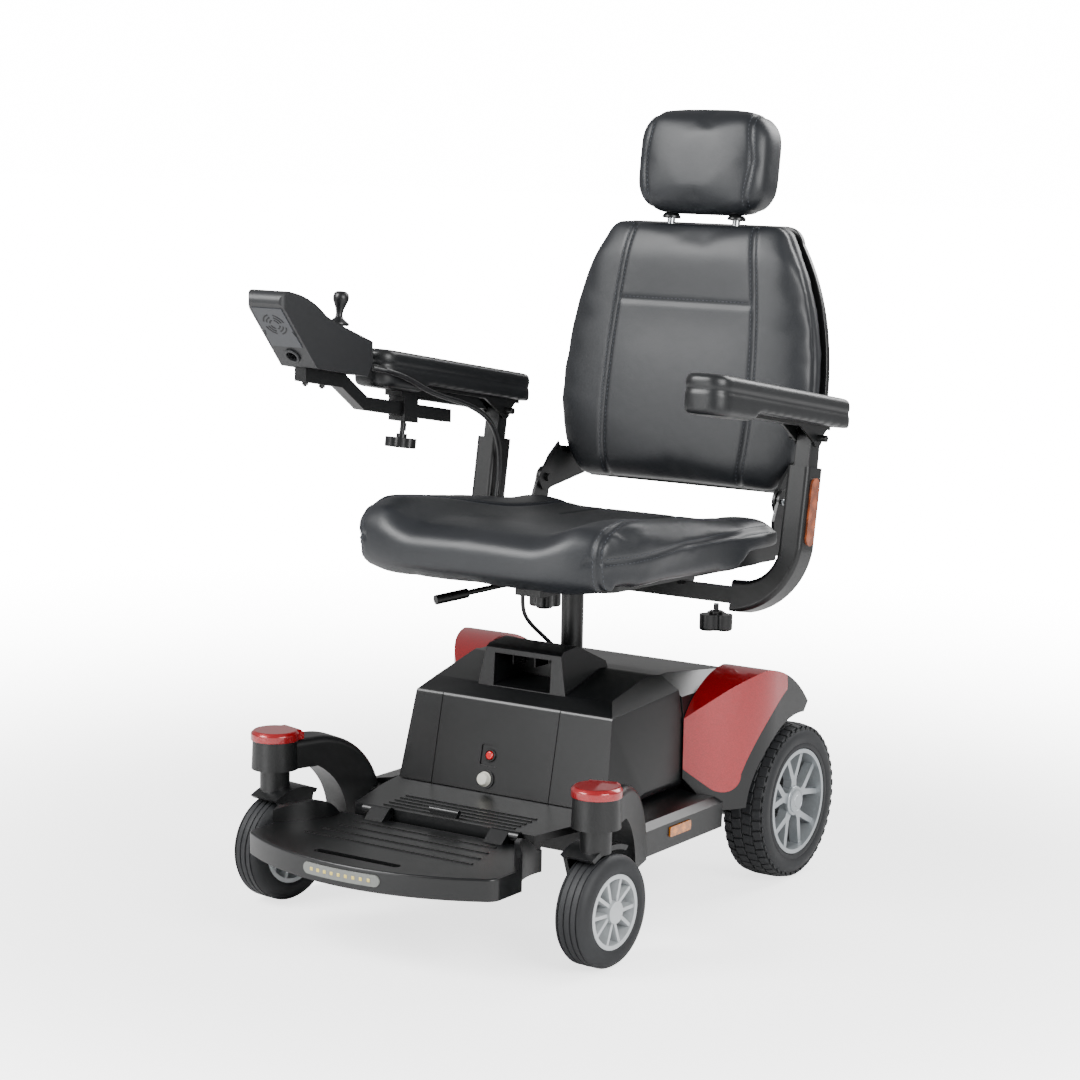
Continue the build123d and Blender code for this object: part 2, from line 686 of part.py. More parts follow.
# ================================================================ front deck
DECK_FRONT_Y = FOOT_PIVOT_Y + 4
KNUCKLE_R = 7
PIN_R = 3
KNUCKLE_W = 30
KNUCKLE_X = 115
with BuildPart() as front_deck:
    with BuildSketch(cross_plane(0)):
        Polygon(
            (CASE_FRONT_Y + 12, DECK_Z - 0.5),
            (DECK_FRONT_Y, FOOT_PIVOT_Z + 4),
            (DECK_FRONT_Y, 116),
            (DECK_FRONT_Y + 12, 116),
            (DECK_FRONT_Y + 12, FOOT_PIVOT_Z - 6),
            (FRONT_BEAM_Y - BEAM_W / 2, DECK_Z - DECK_T),
            (CASE_FRONT_Y + 3, DECK_Z - DECK_T),
            (CASE_FRONT_Y + 3, DECK_Z - 6),
            (CASE_FRONT_Y + 12, DECK_Z - 6),
            align=None,
        )
    extrude(amount=200, both=True)
    with BuildSketch(Plane.XY.offset(FLOOR_Z)):
        Polygon(
            (-DECK_HALF_W, RAIL_FRONT_Y),
            (DECK_HALF_W, RAIL_FRONT_Y),
            (176, FRONT_BEAM_Y - 20),
            (150, DECK_FRONT_Y - 1),
            (-150, DECK_FRONT_Y - 1),
            (-176, FRONT_BEAM_Y - 20),
            align=None,
        )
    extrude(amount=100, mode=Mode.INTERSECT)
    with BuildSketch(cross_plane(0)):
        for row in range(5):
            y = DECK_FRONT_Y + 14 + row * 13
            with Locations((y, FOOT_PIVOT_Z + 4 + (y - DECK_FRONT_Y) * 0.037)):
                Rectangle(4, 3)
    extrude(amount=110, both=True)
    for sx in (-1, 1):
        with BuildSketch(cross_plane(sx * (KNUCKLE_X + KNUCKLE_W / 2))):
            with Locations((FOOT_PIVOT_Y, FOOT_PIVOT_Z)):
                Circle(KNUCKLE_R)
            with Locations((FOOT_PIVOT_Y + 4, FOOT_PIVOT_Z - 4)):
                Rectangle(8, 8)
        extrude(amount=-sx * KNUCKLE_W / 2)
        with BuildSketch(cross_plane(sx * (KNUCKLE_X + KNUCKLE_W / 2))):
            with Locations((FOOT_PIVOT_Y, FOOT_PIVOT_Z)):
                Circle(PIN_R)
        extrude(amount=-sx * KNUCKLE_W)
        with BuildSketch(cross_plane(sx * (KNUCKLE_X + 0.01))):
            with Locations((FOOT_PIVOT_Y, FOOT_PIVOT_Z)):
                Circle(KNUCKLE_R + 2)
                Circle(PIN_R + RUN, mode=Mode.SUBTRACT)
        extrude(amount=-sx * (KNUCKLE_W + 2), mode=Mode.SUBTRACT)
write(front_deck.part, "front_deck")

with BuildPart() as deck_latch:
    with BuildSketch(Plane.XY.offset(DECK_Z - 3)):
        with Locations((0, DECK_FRONT_Y + 4.5)):
            Rectangle(44, 7)
    extrude(amount=7)
    with BuildSketch(cross_plane(-24)):
        with Locations((DECK_FRONT_Y + 4.5, DECK_Z + 4)):
            Circle(4)
    extrude(amount=48)
write(deck_latch.part, "deck_latch")

# ================================================================ footplate
SWEEP = CASTER_R + CASTER_TRAIL + 8
WING_T = 7
WING_H = 27


def foot_outline():
    """Plan of the footplate, with a bowed front."""
    half = FOOT_W / 2
    with BuildSketch() as outline:
        with BuildLine():
            Line((-half, FOOT_REAR_Y), (half, FOOT_REAR_Y))
            Line((half, FOOT_REAR_Y), (half, FOOT_CORNER_Y))
            ThreePointArc((half, FOOT_CORNER_Y), (0, FOOT_FRONT_Y), (-half, FOOT_CORNER_Y))
            Line((-half, FOOT_CORNER_Y), (-half, FOOT_REAR_Y))
        make_face()
    return outline.sketch


with BuildPart() as footplate:
    with BuildSketch(Plane.XY.offset(FOOT_TOP - FOOT_T)):
        add(foot_outline())
        with Locations((-CASTER_X, CASTER_Y), (CASTER_X, CASTER_Y)):
            Circle(SWEEP, mode=Mode.SUBTRACT)
    extrude(amount=FOOT_T)
    corners = footplate.edges().filter_by(Axis.Z).group_by(Axis.Y)[0]
    fillet(corners, 20)
    fillet(footplate.faces().sort_by(Axis.Z)[-1].edges().sort_by(Axis.Y)[0:3], 3)
    with BuildSketch(Plane.XY.offset(FOOT_TOP - FOOT_T)):
        with Locations((0, FOOT_REAR_Y - 80)):
            RectangleRounded(280, 120, 10)
    extrude(amount=FOOT_T - 10, mode=Mode.SUBTRACT)
    for sx in (-1, 1):
        with BuildSketch(Plane.XY.offset(FOOT_TOP - 4)):
            with Locations((sx * CASTER_X, CASTER_Y)):
                Circle(SWEEP + WING_T)
                Circle(SWEEP, mode=Mode.SUBTRACT)
            with Locations((sx * (FOOT_W / 2 - 32), CASTER_Y - 42)):
                Rectangle(64, 118, mode=Mode.INTERSECT)
        wing = extrude(amount=WING_H + 4, mode=Mode.PRIVATE)
        with BuildSketch(cross_plane(sx * FOOT_W / 2)):
            with BuildLine():
                chord = Line((CASTER_Y + 16, FOOT_TOP - 4), (CASTER_Y - 106, FOOT_TOP - 4))
                ThreePointArc(chord @ 0, (CASTER_Y - 38, FOOT_TOP + WING_H), chord @ 1)
            make_face()
        wing_side = extrude(amount=-sx * 80, mode=Mode.PRIVATE)
        add(wing & wing_side)
    with BuildSketch(Plane.XY.offset(FOOT_TOP)):
        with Locations((0, FOOT_CORNER_Y - 24)):
            SlotOverall(140, 14)
    extrude(amount=-FOOT_T, mode=Mode.SUBTRACT)
    with BuildSketch(Plane.XY.offset(FOOT_TOP)):
        for row in range(4):
            with Locations((0, FOOT_REAR_Y - 30 - row * 28)):
                SlotOverall(236 + row * 14, 5)
    extrude(amount=1.4)
    for sx in (-1, 1):
        with BuildSketch(cross_plane(sx * (KNUCKLE_X - GAP))):
            with Locations((FOOT_PIVOT_Y, FOOT_PIVOT_Z)):
                Circle(KNUCKLE_R)
            Polygon(
                (FOOT_PIVOT_Y + 1, FOOT_PIVOT_Z - KNUCKLE_R),
                (FOOT_PIVOT_Y - 4, FOOT_PIVOT_Z + KNUCKLE_R - 1),
                (FOOT_REAR_Y - 14, FOOT_TOP),
                (FOOT_REAR_Y - 14, FOOT_TOP - 8),
                align=None,
            )
        extrude(amount=-sx * KNUCKLE_W)
        with BuildSketch(cross_plane(sx * (KNUCKLE_X + 1))):
            with Locations((FOOT_PIVOT_Y, FOOT_PIVOT_Z)):
                Circle(PIN_R + RUN)
        extrude(amount=-sx * (KNUCKLE_W + 4), mode=Mode.SUBTRACT)
    with BuildSketch(Plane.XY.offset(FOOT_TOP - 14 - LIGHT_H / 2)):
        with BuildLine():
            ThreePointArc(
                (-FOOT_W / 2, FOOT_CORNER_Y + 4), (0, FOOT_FRONT_Y + 4), (FOOT_W / 2, FOOT_CORNER_Y + 4)
            )
            Line((FOOT_W / 2, FOOT_CORNER_Y + 4), (FOOT_W / 2, FOOT_FRONT_Y - 20))
            Line((FOOT_W / 2, FOOT_FRONT_Y - 20), (-FOOT_W / 2, FOOT_FRONT_Y - 20))
            Line((-FOOT_W / 2, FOOT_FRONT_Y - 20), (-FOOT_W / 2, FOOT_CORNER_Y + 4))
        make_face()
    light_depth = extrude(amount=LIGHT_H, mode=Mode.PRIVATE)
    with BuildSketch(Plane.XZ.offset(-FOOT_CORNER_Y)):
        with Locations((0, FOOT_TOP - 14)):
            SlotOverall(LIGHT_W, LIGHT_H)
    light_shape = extrude(amount=100, mode=Mode.PRIVATE)
    light_pocket = light_depth & light_shape
    add(light_pocket, mode=Mode.SUBTRACT)
write(footplate.part, "footplate")

with BuildPart() as toe_light:
    with BuildSketch(Plane.XY.offset(FOOT_TOP - 14 - LIGHT_H / 2)):
        with BuildLine():
            ThreePointArc(
                (-FOOT_W / 2, FOOT_CORNER_Y + 4), (0, FOOT_FRONT_Y + 4), (FOOT_W / 2, FOOT_CORNER_Y + 4)
            )
            Line((FOOT_W / 2, FOOT_CORNER_Y + 4), (FOOT_W / 2, FOOT_CORNER_Y - 2))
            ThreePointArc(
                (FOOT_W / 2, FOOT_CORNER_Y - 2), (0, FOOT_FRONT_Y - 2), (-FOOT_W / 2, FOOT_CORNER_Y - 2)
            )
            Line((-FOOT_W / 2, FOOT_CORNER_Y - 2), (-FOOT_W / 2, FOOT_CORNER_Y + 4))
        make_face()
    extrude(amount=LIGHT_H)
    with BuildSketch(Plane.XZ.offset(-FOOT_CORNER_Y)):
        with Locations((0, FOOT_TOP - 14)):
            SlotOverall(LIGHT_W - GAP, LIGHT_H - GAP)
    extrude(amount=100, mode=Mode.INTERSECT)
write(toe_light.part, "toe_light")

# ================================================================ seat post and head
HEAD_R = 34
with BuildPart() as seat_post:
    with BuildSketch(Plane.XY.offset(FLOOR_Z + 40)):
        with Locations((0, POST_Y)):
            Circle(POST_R)
    extrude(amount=POST_TOP - FLOOR_Z - 40)
write(seat_post.part, "seat_post")

HEAD_TOP = 460
with BuildPart() as swivel_head:
    with BuildSketch(Plane.XY.offset(HEAD_TOP - 24)):
        with Locations((0, POST_Y)):
            Circle(HEAD_R)
    extrude(amount=20)
    with BuildSketch(Plane.XY.offset(HEAD_TOP - 4)):
        with Locations((0, POST_Y)):
            RectangleRounded(110, 110, 14)
    extrude(amount=3)
    with BuildSketch(Plane.XY.offset(HEAD_TOP - 24)):
        with Locations((0, POST_Y)):
            Circle(POST_R + RUN)
    extrude(amount=POST_TOP - HEAD_TOP + 24, mode=Mode.SUBTRACT)
    with BuildSketch(Plane.XY.offset(HEAD_TOP - 34)):
        with Locations((-20, POST_Y - 62)):
            RectangleRounded(48, 50, 5)
    extrude(amount=26)
    with BuildSketch(Plane.XY.offset(HEAD_TOP - 12)):
        with Locations((-10, POST_Y - 32)):
            Rectangle(22, 24)
    extrude(amount=5)
write(swivel_head.part, "swivel_head")

# ================================================================ seat
seat_plane = Plane(
    origin=(0, POST_Y, SEAT_Z),
    x_dir=(1, 0, 0),
    z_dir=(0, sin(radians(SEAT_TILT)), cos(radians(SEAT_TILT))),
)
seat_side = Plane(origin=seat_plane.origin, x_dir=seat_plane.y_dir, z_dir=(1, 0, 0))
PAN_T = 8
PAN_LIP = 14
PAN_FRONT = -245
PAN_REAR = 203
PAN_W = SEAT_W - 24
with BuildPart() as seat_pan:
    with BuildSketch(seat_plane):
        with Locations((0, (PAN_FRONT + PAN_LIP + PAN_REAR) / 2)):
            RectangleRounded(PAN_W - 2 * PAN_LIP, PAN_REAR - PAN_FRONT - PAN_LIP, 30)
    extrude(amount=PAN_T)
    with BuildSketch(seat_side):
        Polygon((92, PAN_T - 2), (124, 38), (PAN_REAR, 38), (PAN_REAR, PAN_T - 2), align=None)
    extrude(amount=PAN_W / 2 + 4, both=True)
    with BuildSketch(seat_plane.offset(PAN_T)):
        with Locations((0, 140)):
            Rectangle(PAN_W - 60, 260)
    extrude(amount=60, mode=Mode.SUBTRACT)
write(seat_pan.part, "seat_pan")

with BuildPart() as seat_cushion:
    with BuildSketch(seat_side):
        with BuildLine():
            Polyline(
                (-236, SEAT_T + PAN_T),
                (PAN_REAR - 20, SEAT_T + PAN_T - 4),
            )
            ThreePointArc(
                (PAN_REAR - 20, SEAT_T + PAN_T - 4), (PAN_REAR - 4, SEAT_T), (PAN_REAR + 3, SEAT_T - 16)
            )
            Polyline(
                (PAN_REAR + 3, SEAT_T - 16),
                (PAN_REAR + 3, 38 + GAP),
                (124, 38 + GAP),
                (92, PAN_T + GAP),
                (PAN_FRONT - 1, PAN_T + GAP),
                (PAN_FRONT - 1, 0),
                (-258, 0),
            )
            ThreePointArc((-258, 0), (-270, 6), (PAN_REAR + 3 - SEAT_L, 24))
            Line((PAN_REAR + 3 - SEAT_L, 24), (PAN_REAR + 3 - SEAT_L, 44))
            ThreePointArc(
                (PAN_REAR + 3 - SEAT_L, 44), (-266, 68), (-236, SEAT_T + PAN_T)
            )
        make_face()
    extrude(amount=SEAT_W / 2, both=True)
    sides = seat_cushion.edges().filter_by(lambda e: abs(abs(e.center().X) - SEAT_W / 2) < 0.1)
    fillet(sides.filter_by(lambda e: e.length > 300).group_by(Axis.Z)[-1], 16)
write(seat_cushion.part, "seat_cushion")

# ================================================================ arm tube
TUBE_Y = BOLT_Y - (BOLT_Z - 417) * tan(radians(ARM_TILT))
TUBE_Z = 417
TUBE_L = 2 * 184
STUB = TUBE - 2 * TUBE_WALL - 2 * GAP
arm_up = Vector(0, sin(radians(ARM_TILT)), cos(radians(ARM_TILT)))
tube_plane = Plane(origin=(0, TUBE_Y, TUBE_Z), x_dir=arm_up, z_dir=(1, 0, 0))
KNOB_X = 150
HANGER_X = 96
with BuildPart() as cross_tube:
    with BuildSketch(tube_plane):
        Rectangle(TUBE, TUBE)
        Rectangle(TUBE - 2 * TUBE_WALL, TUBE - 2 * TUBE_WALL, mode=Mode.SUBTRACT)
    extrude(amount=TUBE_L / 2, both=True)
    for sx in (-1, 1):
        with BuildSketch(cross_plane(sx * HANGER_X)):
            with BuildLine():
                Polyline(
                    (TUBE_Y - 18, TUBE_Z + 10),
                    (TUBE_Y - 30, SEAT_Z - 4.5),
                    (TUBE_Y + 30, SEAT_Z - 6),
                    (TUBE_Y + 18, TUBE_Z + 10),
                    close=True,
                )
            make_face()
            with Locations(Location((TUBE_Y, TUBE_Z), -ARM_TILT)):
                Rectangle(TUBE - 1, TUBE - 1, mode=Mode.SUBTRACT)
        extrude(amount=4, both=True)
    with BuildSketch(seat_plane.offset(-60)):
        Rectangle(900, 900)
    extrude(amount=60 - GAP / 6, mode=Mode.INTERSECT)
write(cross_tube.part, "cross_tube")

LEVER_X = -36
LEVER_Y = 12
LEVER_Z = HEAD_TOP - 26
with BuildPart() as swivel_lever:
    with BuildLine():
        FilletPolyline(
            (LEVER_X - 12, LEVER_Y, LEVER_Z + 6),
            (LEVER_X - 34, LEVER_Y - 34, LEVER_Z + 2),
            (LEVER_X - 62, LEVER_Y - 92, LEVER_Z - 6),
            radius=12,
        )
    with BuildSketch(Plane(origin=(LEVER_X - 12, LEVER_Y, LEVER_Z + 6), z_dir=(-22, -34, -4))):
        Circle(4)
    sweep()
    grip_dir = Vector(-28, -58, -8).normalized()
    with BuildSketch(Plane(origin=Vector(LEVER_X - 58, LEVER_Y - 84, LEVER_Z - 5), z_dir=grip_dir)):
        Circle(7)
    extrude(amount=52)
write(swivel_lever.part, "swivel_lever")

# ================================================================ backrest
back_up = Vector(0, sin(radians(BACK_TILT)), cos(radians(BACK_TILT)))
back_out = Vector(0, -cos(radians(BACK_TILT)), sin(radians(BACK_TILT)))
back_plane = Plane(origin=(0, BACK_Y, BACK_Z), x_dir=(1, 0, 0), z_dir=back_out)
POST_DEPTH = 90
POST_SET = -36
POST_SINK_Y = 430
CUSHION_EDGE_R = 18


def back_outline(inset):
    """Outline of the backrest, moved in by inset."""
    with BuildSketch() as outline:
        with BuildLine():
            Line((0, -12 + inset), (178 - inset, -12 + inset))
            Spline(
                (178 - inset, -12 + inset),
                (214 - inset, 50),
                (228 - inset, 180),
                (206 - inset, 290),
                (168 - inset, 372 - inset),
            )
            ThreePointArc(
                (168 - inset, 372 - inset), (158 - inset, 390 - inset), (136 - inset, 398 - inset)
            )
            Line((136 - inset, 398 - inset), (0, 398 - inset))
            Line((0, 398 - inset), (0, -12 + inset))
        make_face()
        mirror(about=Plane.YZ)
    return outline.sketch


with BuildPart() as back_cushion:
    with BuildSketch(back_plane.offset(-BACK_T)):
        add(back_outline(0))
    extrude(amount=BACK_T)
    front_face = back_cushion.faces().sort_by(SortBy.AREA)[-2:].sort_by(Axis.Y)[0]
    fillet(front_face.edges(), CUSHION_EDGE_R)
    head_plane = Plane(
        origin=back_plane.from_local_coords(Vector(0, POST_SINK_Y, POST_SET)),
        x_dir=(1, 0, 0),
        z_dir=back_up * -1,
    )
    with BuildSketch(head_plane):
        with Locations((-HEAD_POST_X, 0), (HEAD_POST_X, 0)):
            Circle(HEAD_POST_R + GAP)
    extrude(amount=POST_DEPTH + 34, mode=Mode.SUBTRACT)
write(back_cushion.part, "back_cushion")

with BuildPart() as back_shell:
    with BuildSketch(back_plane.offset(-BACK_T - SHELL_T)):
        add(back_outline(5))
    extrude(amount=SHELL_T)
    rear_face = back_shell.faces().sort_by(SortBy.AREA)[-2:].sort_by(Axis.Y)[-1]
    chamfer(rear_face.edges(), 6)
write(back_shell.part, "back_shell")

HINGE_X = 203
HINGE_T = 5
PIVOT_R = 6
shell_mid = back_plane.from_local_coords(Vector(0, 40, -BACK_T - SHELL_T))
with BuildPart() as back_bracket:
    with BuildSketch(cross_plane(HINGE_X)):
        with Locations((BACK_PIVOT_Y, BACK_PIVOT_Z)):
            Circle(20)
        with BuildLine():
            Polyline(
                (BACK_PIVOT_Y - 6, BACK_PIVOT_Z - 19),
                (BACK_PIVOT_Y - 19, BACK_PIVOT_Z + 3),
                (BACK_PIVOT_Y + 8, BACK_PIVOT_Z + 34),
                (shell_mid.Y + 8, shell_mid.Z + 60),
                (shell_mid.Y + 20, shell_mid.Z + 60),
                (shell_mid.Y + 8, shell_mid.Z - 46),
                close=True,
            )
        make_face()
        with Locations((BACK_PIVOT_Y, BACK_PIVOT_Z)):
            Circle(PIVOT_R + RUN, mode=Mode.SUBTRACT)
    extrude(amount=HINGE_T)
    with BuildSketch(back_plane.offset(-BACK_T - SHELL_T)):
        with Locations((HINGE_X - 12, 66)):
            Rectangle(34, 80)
    extrude(amount=-4)
bracket = back_bracket.part - back_cushion.part - back_shell.part
write(bracket + mirror(bracket, about=Plane.YZ), "back_brackets")

with BuildPart() as back_hinge:
    with BuildSketch(cross_plane(HINGE_X + HINGE_T + GAP)):
        with Locations((BACK_PIVOT_Y, BACK_PIVOT_Z)):
            Circle(17)
        Polygon(
            (BACK_PIVOT_Y - 52, SEAT_Z + 4),
            (BACK_PIVOT_Y - 17, BACK_PIVOT_Z),
            (BACK_PIVOT_Y + 17, BACK_PIVOT_Z),
            (BACK_PIVOT_Y + 4, SEAT_Z + 4),
            align=None,
        )
    extrude(amount=HINGE_T)
    with BuildSketch(cross_plane(HINGE_X - 5)):
        with Locations((BACK_PIVOT_Y, BACK_PIVOT_Z)):
            Circle(PIVOT_R)
    extrude(amount=2 * HINGE_T + 6)
hinge = back_hinge.part - seat_cushion.part - seat_pan.part
write(hinge + mirror(hinge, about=Plane.YZ), "back_hinges")

with BuildPart() as headrest_cushion:
    with BuildSketch(back_plane.offset(-HEAD_T + 6)):
        with Locations((0, HEAD_RISE + HEAD_H / 2)):
            RectangleRounded(HEAD_W, HEAD_H, 48)
    extrude(amount=HEAD_T)
    fillet(headrest_cushion.faces().sort_by(Axis.Y)[0].edges(), 26)
    fillet(headrest_cushion.faces().sort_by(Axis.Y)[-1].edges(), 22)
write(headrest_cushion.part, "headrest_cushion")

with BuildPart() as headrest_post:
    with BuildSketch(head_plane.offset(POST_SINK_Y - HEAD_RISE)):
        with Locations((HEAD_POST_X, 0)):
            Circle(HEAD_POST_R)
    extrude(amount=POST_DEPTH)
write(headrest_post.part + mirror(headrest_post.part, about=Plane.YZ), "headrest_posts")

# ================================================================ arms
arm_side = Plane(origin=(0, TUBE_Y, TUBE_Z), x_dir=(1, 0, 0), z_dir=(0, -arm_up.Z, arm_up.Y))
RECEIVER_TOP = (610 - TUBE_Z) / arm_up.Z
ELBOW_END = TUBE_L / 2 + GAP
UPRIGHT_DEPTH = 100
bolt_h = (BOLT_Z - TUBE_Z) / arm_up.Z
with BuildPart() as arm_receiver:
    with BuildSketch(arm_side):
        inner = ARM_X - RECEIVER_W / 2
        outer_x = ARM_X + RECEIVER_W / 2
        half = RECEIVER_D / 2
        with BuildLine():
            Line((ELBOW_END, -half), (outer_x - ELBOW_R - half + 6, -half))
            ThreePointArc(
                (outer_x - ELBOW_R - half + 6, -half),
                (outer_x - (ELBOW_R + half) * (1 - cos(radians(45))) - 2, 11),
                (outer_x, ELBOW_R + 6),
            )
            Line((outer_x, ELBOW_R + 6), (outer_x, RECEIVER_TOP))
            Line((outer_x, RECEIVER_TOP), (inner, RECEIVER_TOP))
            Line((inner, RECEIVER_TOP), (inner, ELBOW_R + 6))
            ThreePointArc((inner, ELBOW_R + 6), (inner - 16, ELBOW_R - 33), (inner - 55, half))
            Line((inner - 55, half), (ELBOW_END, half))
            Line((ELBOW_END, half), (ELBOW_END, -half))
        make_face()
    extrude(amount=RECEIVER_D / 2, both=True)
    bends = arm_receiver.edges().filter_by(GeomType.CIRCLE)
    fillet(bends.filter_by(lambda e: e.length > 40 and abs(e.center().X - ARM_X) > 3), 7)
    with BuildSketch(tube_plane.offset(ELBOW_END - 110)):
        Rectangle(STUB, STUB)
    extrude(amount=112)
    bore = Plane(
        origin=arm_side.from_local_coords(Vector(ARM_X, RECEIVER_TOP - UPRIGHT_DEPTH - 20, 0)),
        x_dir=(1, 0, 0),
        z_dir=arm_up,
    )
    with BuildSketch(bore):
        Rectangle(UPRIGHT_W + 2 * GAP, UPRIGHT_D + 2 * GAP)
    extrude(amount=UPRIGHT_DEPTH + 40, mode=Mode.SUBTRACT)
write_pair(arm_receiver.part, "arm_receiver")

with BuildPart() as arm_upright:
    with BuildSketch(bore.offset(20)):
        Rectangle(UPRIGHT_W, UPRIGHT_D)
    extrude(amount=UPRIGHT_DEPTH + bolt_h - RECEIVER_TOP + UPRIGHT_D / 2)
    fillet(arm_upright.faces().sort_by(Axis.Z)[-1].edges().filter_by(Axis.X), UPRIGHT_D / 2 - 0.1)
    with BuildSketch(cross_plane(ARM_X - 30)):
        with Locations((BOLT_Y, BOLT_Z)):
            Circle(5)
    extrude(amount=60)
write_pair(arm_upright.part, "arm_upright")

with BuildPart() as arm_reflector:
    mark = Plane(
        origin=arm_side.from_local_coords(Vector(outer_x, RECEIVER_TOP - 64, 0)),
        x_dir=(0, arm_up.Y * -1, arm_up.Z * -1),
        z_dir=(1, 0, 0),
    )
    with BuildSketch(mark):
        SlotOverall(98, 24)
    extrude(amount=3)
write_pair(arm_reflector.part, "arm_reflector")

PAD_REAR_Y = 312
PAD_TOP = 62
PAD_LOW = 19
PAD_NOSE = 6
pad_front_y = PAD_REAR_Y - PAD_L * cos(radians(ARM_TILT))
NOTCH_Y = pad_front_y + 92


def is_pad_end(edge):
    """Whether an edge is an upright corner at one end of the arm pad."""
    return 30 < edge.length < 70 and abs(abs(edge.center().X - PAD_X) - PAD_W / 2) < 0.1


with BuildPart() as arm_pad:
    with BuildSketch(cross_plane(PAD_X)):
        Polygon(
            (PAD_REAR_Y, rail_z(PAD_REAR_Y, PAD_LOW)),
            (PAD_REAR_Y + 2, rail_z(PAD_REAR_Y, PAD_TOP)),
            (pad_front_y + 4, rail_z(pad_front_y, PAD_TOP)),
            (pad_front_y, rail_z(pad_front_y, PAD_NOSE)),
            (NOTCH_Y, rail_z(NOTCH_Y, PAD_NOSE)),
            (NOTCH_Y + 16, rail_z(NOTCH_Y + 16, PAD_LOW)),
            align=None,
        )
    extrude(amount=PAD_W / 2, both=True)
    fillet(arm_pad.edges().filter_by(is_pad_end).group_by(Axis.Y)[0], 26)
    fillet(arm_pad.edges().filter_by(is_pad_end).group_by(Axis.Y)[-1], 16)
    fillet(arm_pad.faces().sort_by(Axis.Z)[-1].edges(), 9)
write_pair(arm_pad.part, "arm_pad")

LUG_T = 4
LUG_GAP = UPRIGHT_W / 2 + GAP
with BuildPart() as arm_bracket:
    with BuildSketch(cross_plane(ARM_X)):
        Polygon(
            (NOTCH_Y + 24, rail_z(NOTCH_Y + 24, PAD_LOW)),
            (BOLT_Y + 36, rail_z(BOLT_Y + 36, PAD_LOW)),
            (BOLT_Y + 36, rail_z(BOLT_Y + 36, PAD_LOW - 5)),
            (NOTCH_Y + 24, rail_z(NOTCH_Y + 24, PAD_LOW - 5)),
            align=None,
        )
    extrude(amount=LUG_GAP + LUG_T, both=True)
    with BuildSketch(cross_plane(ARM_X)):
        with Locations((BOLT_Y, BOLT_Z)):
            Circle(13)
        Polygon(
            (BOLT_Y + 13, BOLT_Z),
            (BOLT_Y + 28, rail_z(BOLT_Y + 28, PAD_LOW - 3)),
            (BOLT_Y - 60, rail_z(BOLT_Y - 60, PAD_LOW - 3)),
            (BOLT_Y - 12, BOLT_Z - 5),
            align=None,
        )
    extrude(amount=LUG_GAP + LUG_T, both=True)
    with BuildSketch(cross_plane(ARM_X)):
        Polygon(
            (BOLT_Y - 70, rail_z(BOLT_Y - 70, PAD_LOW - 5.1)),
            (BOLT_Y + 40, rail_z(BOLT_Y + 40, PAD_LOW - 5.1)),
            (BOLT_Y + 40, BOLT_Z - 40),
            (BOLT_Y - 70, BOLT_Z - 40),
            align=None,
        )
    extrude(amount=LUG_GAP, both=True, mode=Mode.SUBTRACT)
    with BuildSketch(cross_plane(ARM_X)):
        with Locations((BOLT_Y, BOLT_Z)):
            Circle(5 + RUN)
    extrude(amount=60, both=True, mode=Mode.SUBTRACT)
write(arm_bracket.part, "arm_bracket_left")

with BuildPart() as arm_knob:
    with BuildSketch(Plane.XY.offset(TUBE_Z - 14 - 40)):
        with Locations((KNOB_X, TUBE_Y - 2)):
            Circle(KNOB_R * 0.62)
            with PolarLocations(KNOB_R * 0.5, 3):
                Circle(KNOB_R * 0.5)
    extrude(amount=24)
    fillet(arm_knob.faces().sort_by(Axis.Z)[0].edges(), 4)
    with BuildSketch(Plane.XY.offset(TUBE_Z - 14 - 18)):
        with Locations((KNOB_X, TUBE_Y - 2)):
            Circle(10)
    extrude(amount=6)
    with BuildSketch(Plane.XY.offset(TUBE_Z - 14 - 20)):
        with Locations((KNOB_X, TUBE_Y - 2)):
            Circle(4)
    extrude(amount=18)
write_pair(arm_knob.part, "arm_knob")

# ================================================================ joystick bar
CLAMP_Y = 20
CLAMP_W = 8
BAR_REAR_Y = 128
KNEE_LOW_Y = -84
KNEE_HIGH_Y = -136
BAR_FRONT_Y = -224
CLAMP_L = 34
with BuildPart() as joystick_bar:
    with BuildSketch(cross_plane(-PAD_X)):
        Polygon(
            (BAR_REAR_Y, rail_z(BAR_REAR_Y, -BAR_DROP - BAR / 2)),
            (KNEE_LOW_Y - 3, rail_z(KNEE_LOW_Y - 3, -BAR_DROP - BAR / 2)),
            (KNEE_HIGH_Y - 4, rail_z(KNEE_HIGH_Y - 4, BAR_RISE - BAR_DROP - BAR / 2)),
            (BAR_FRONT_Y, rail_z(BAR_FRONT_Y, BAR_RISE - BAR_DROP - BAR / 2)),
            (BAR_FRONT_Y, rail_z(BAR_FRONT_Y, BAR_RISE - BAR_DROP + BAR / 2)),
            (KNEE_HIGH_Y + 3, rail_z(KNEE_HIGH_Y + 3, BAR_RISE - BAR_DROP + BAR / 2)),
            (KNEE_LOW_Y + 4, rail_z(KNEE_LOW_Y + 4, -BAR_DROP + BAR / 2)),
            (BAR_REAR_Y, rail_z(BAR_REAR_Y, -BAR_DROP + BAR / 2)),
            align=None,
        )
    extrude(amount=BAR / 2, both=True)
    for y in (BAR_FRONT_Y + 12, BAR_FRONT_Y + 50):
        bolt = Plane(
            origin=(-PAD_X, y, rail_z(y, BAR_RISE - BAR_DROP - BAR / 2)),
            x_dir=(1, 0, 0),
            z_dir=arm_up * -1,
        )
        with BuildSketch(bolt):
            RegularPolygon(5, 6)
        extrude(amount=4)
        with BuildSketch(bolt.offset(4)):
            Circle(2.5)
        extrude(amount=2)
write(joystick_bar.part, "joystick_bar")

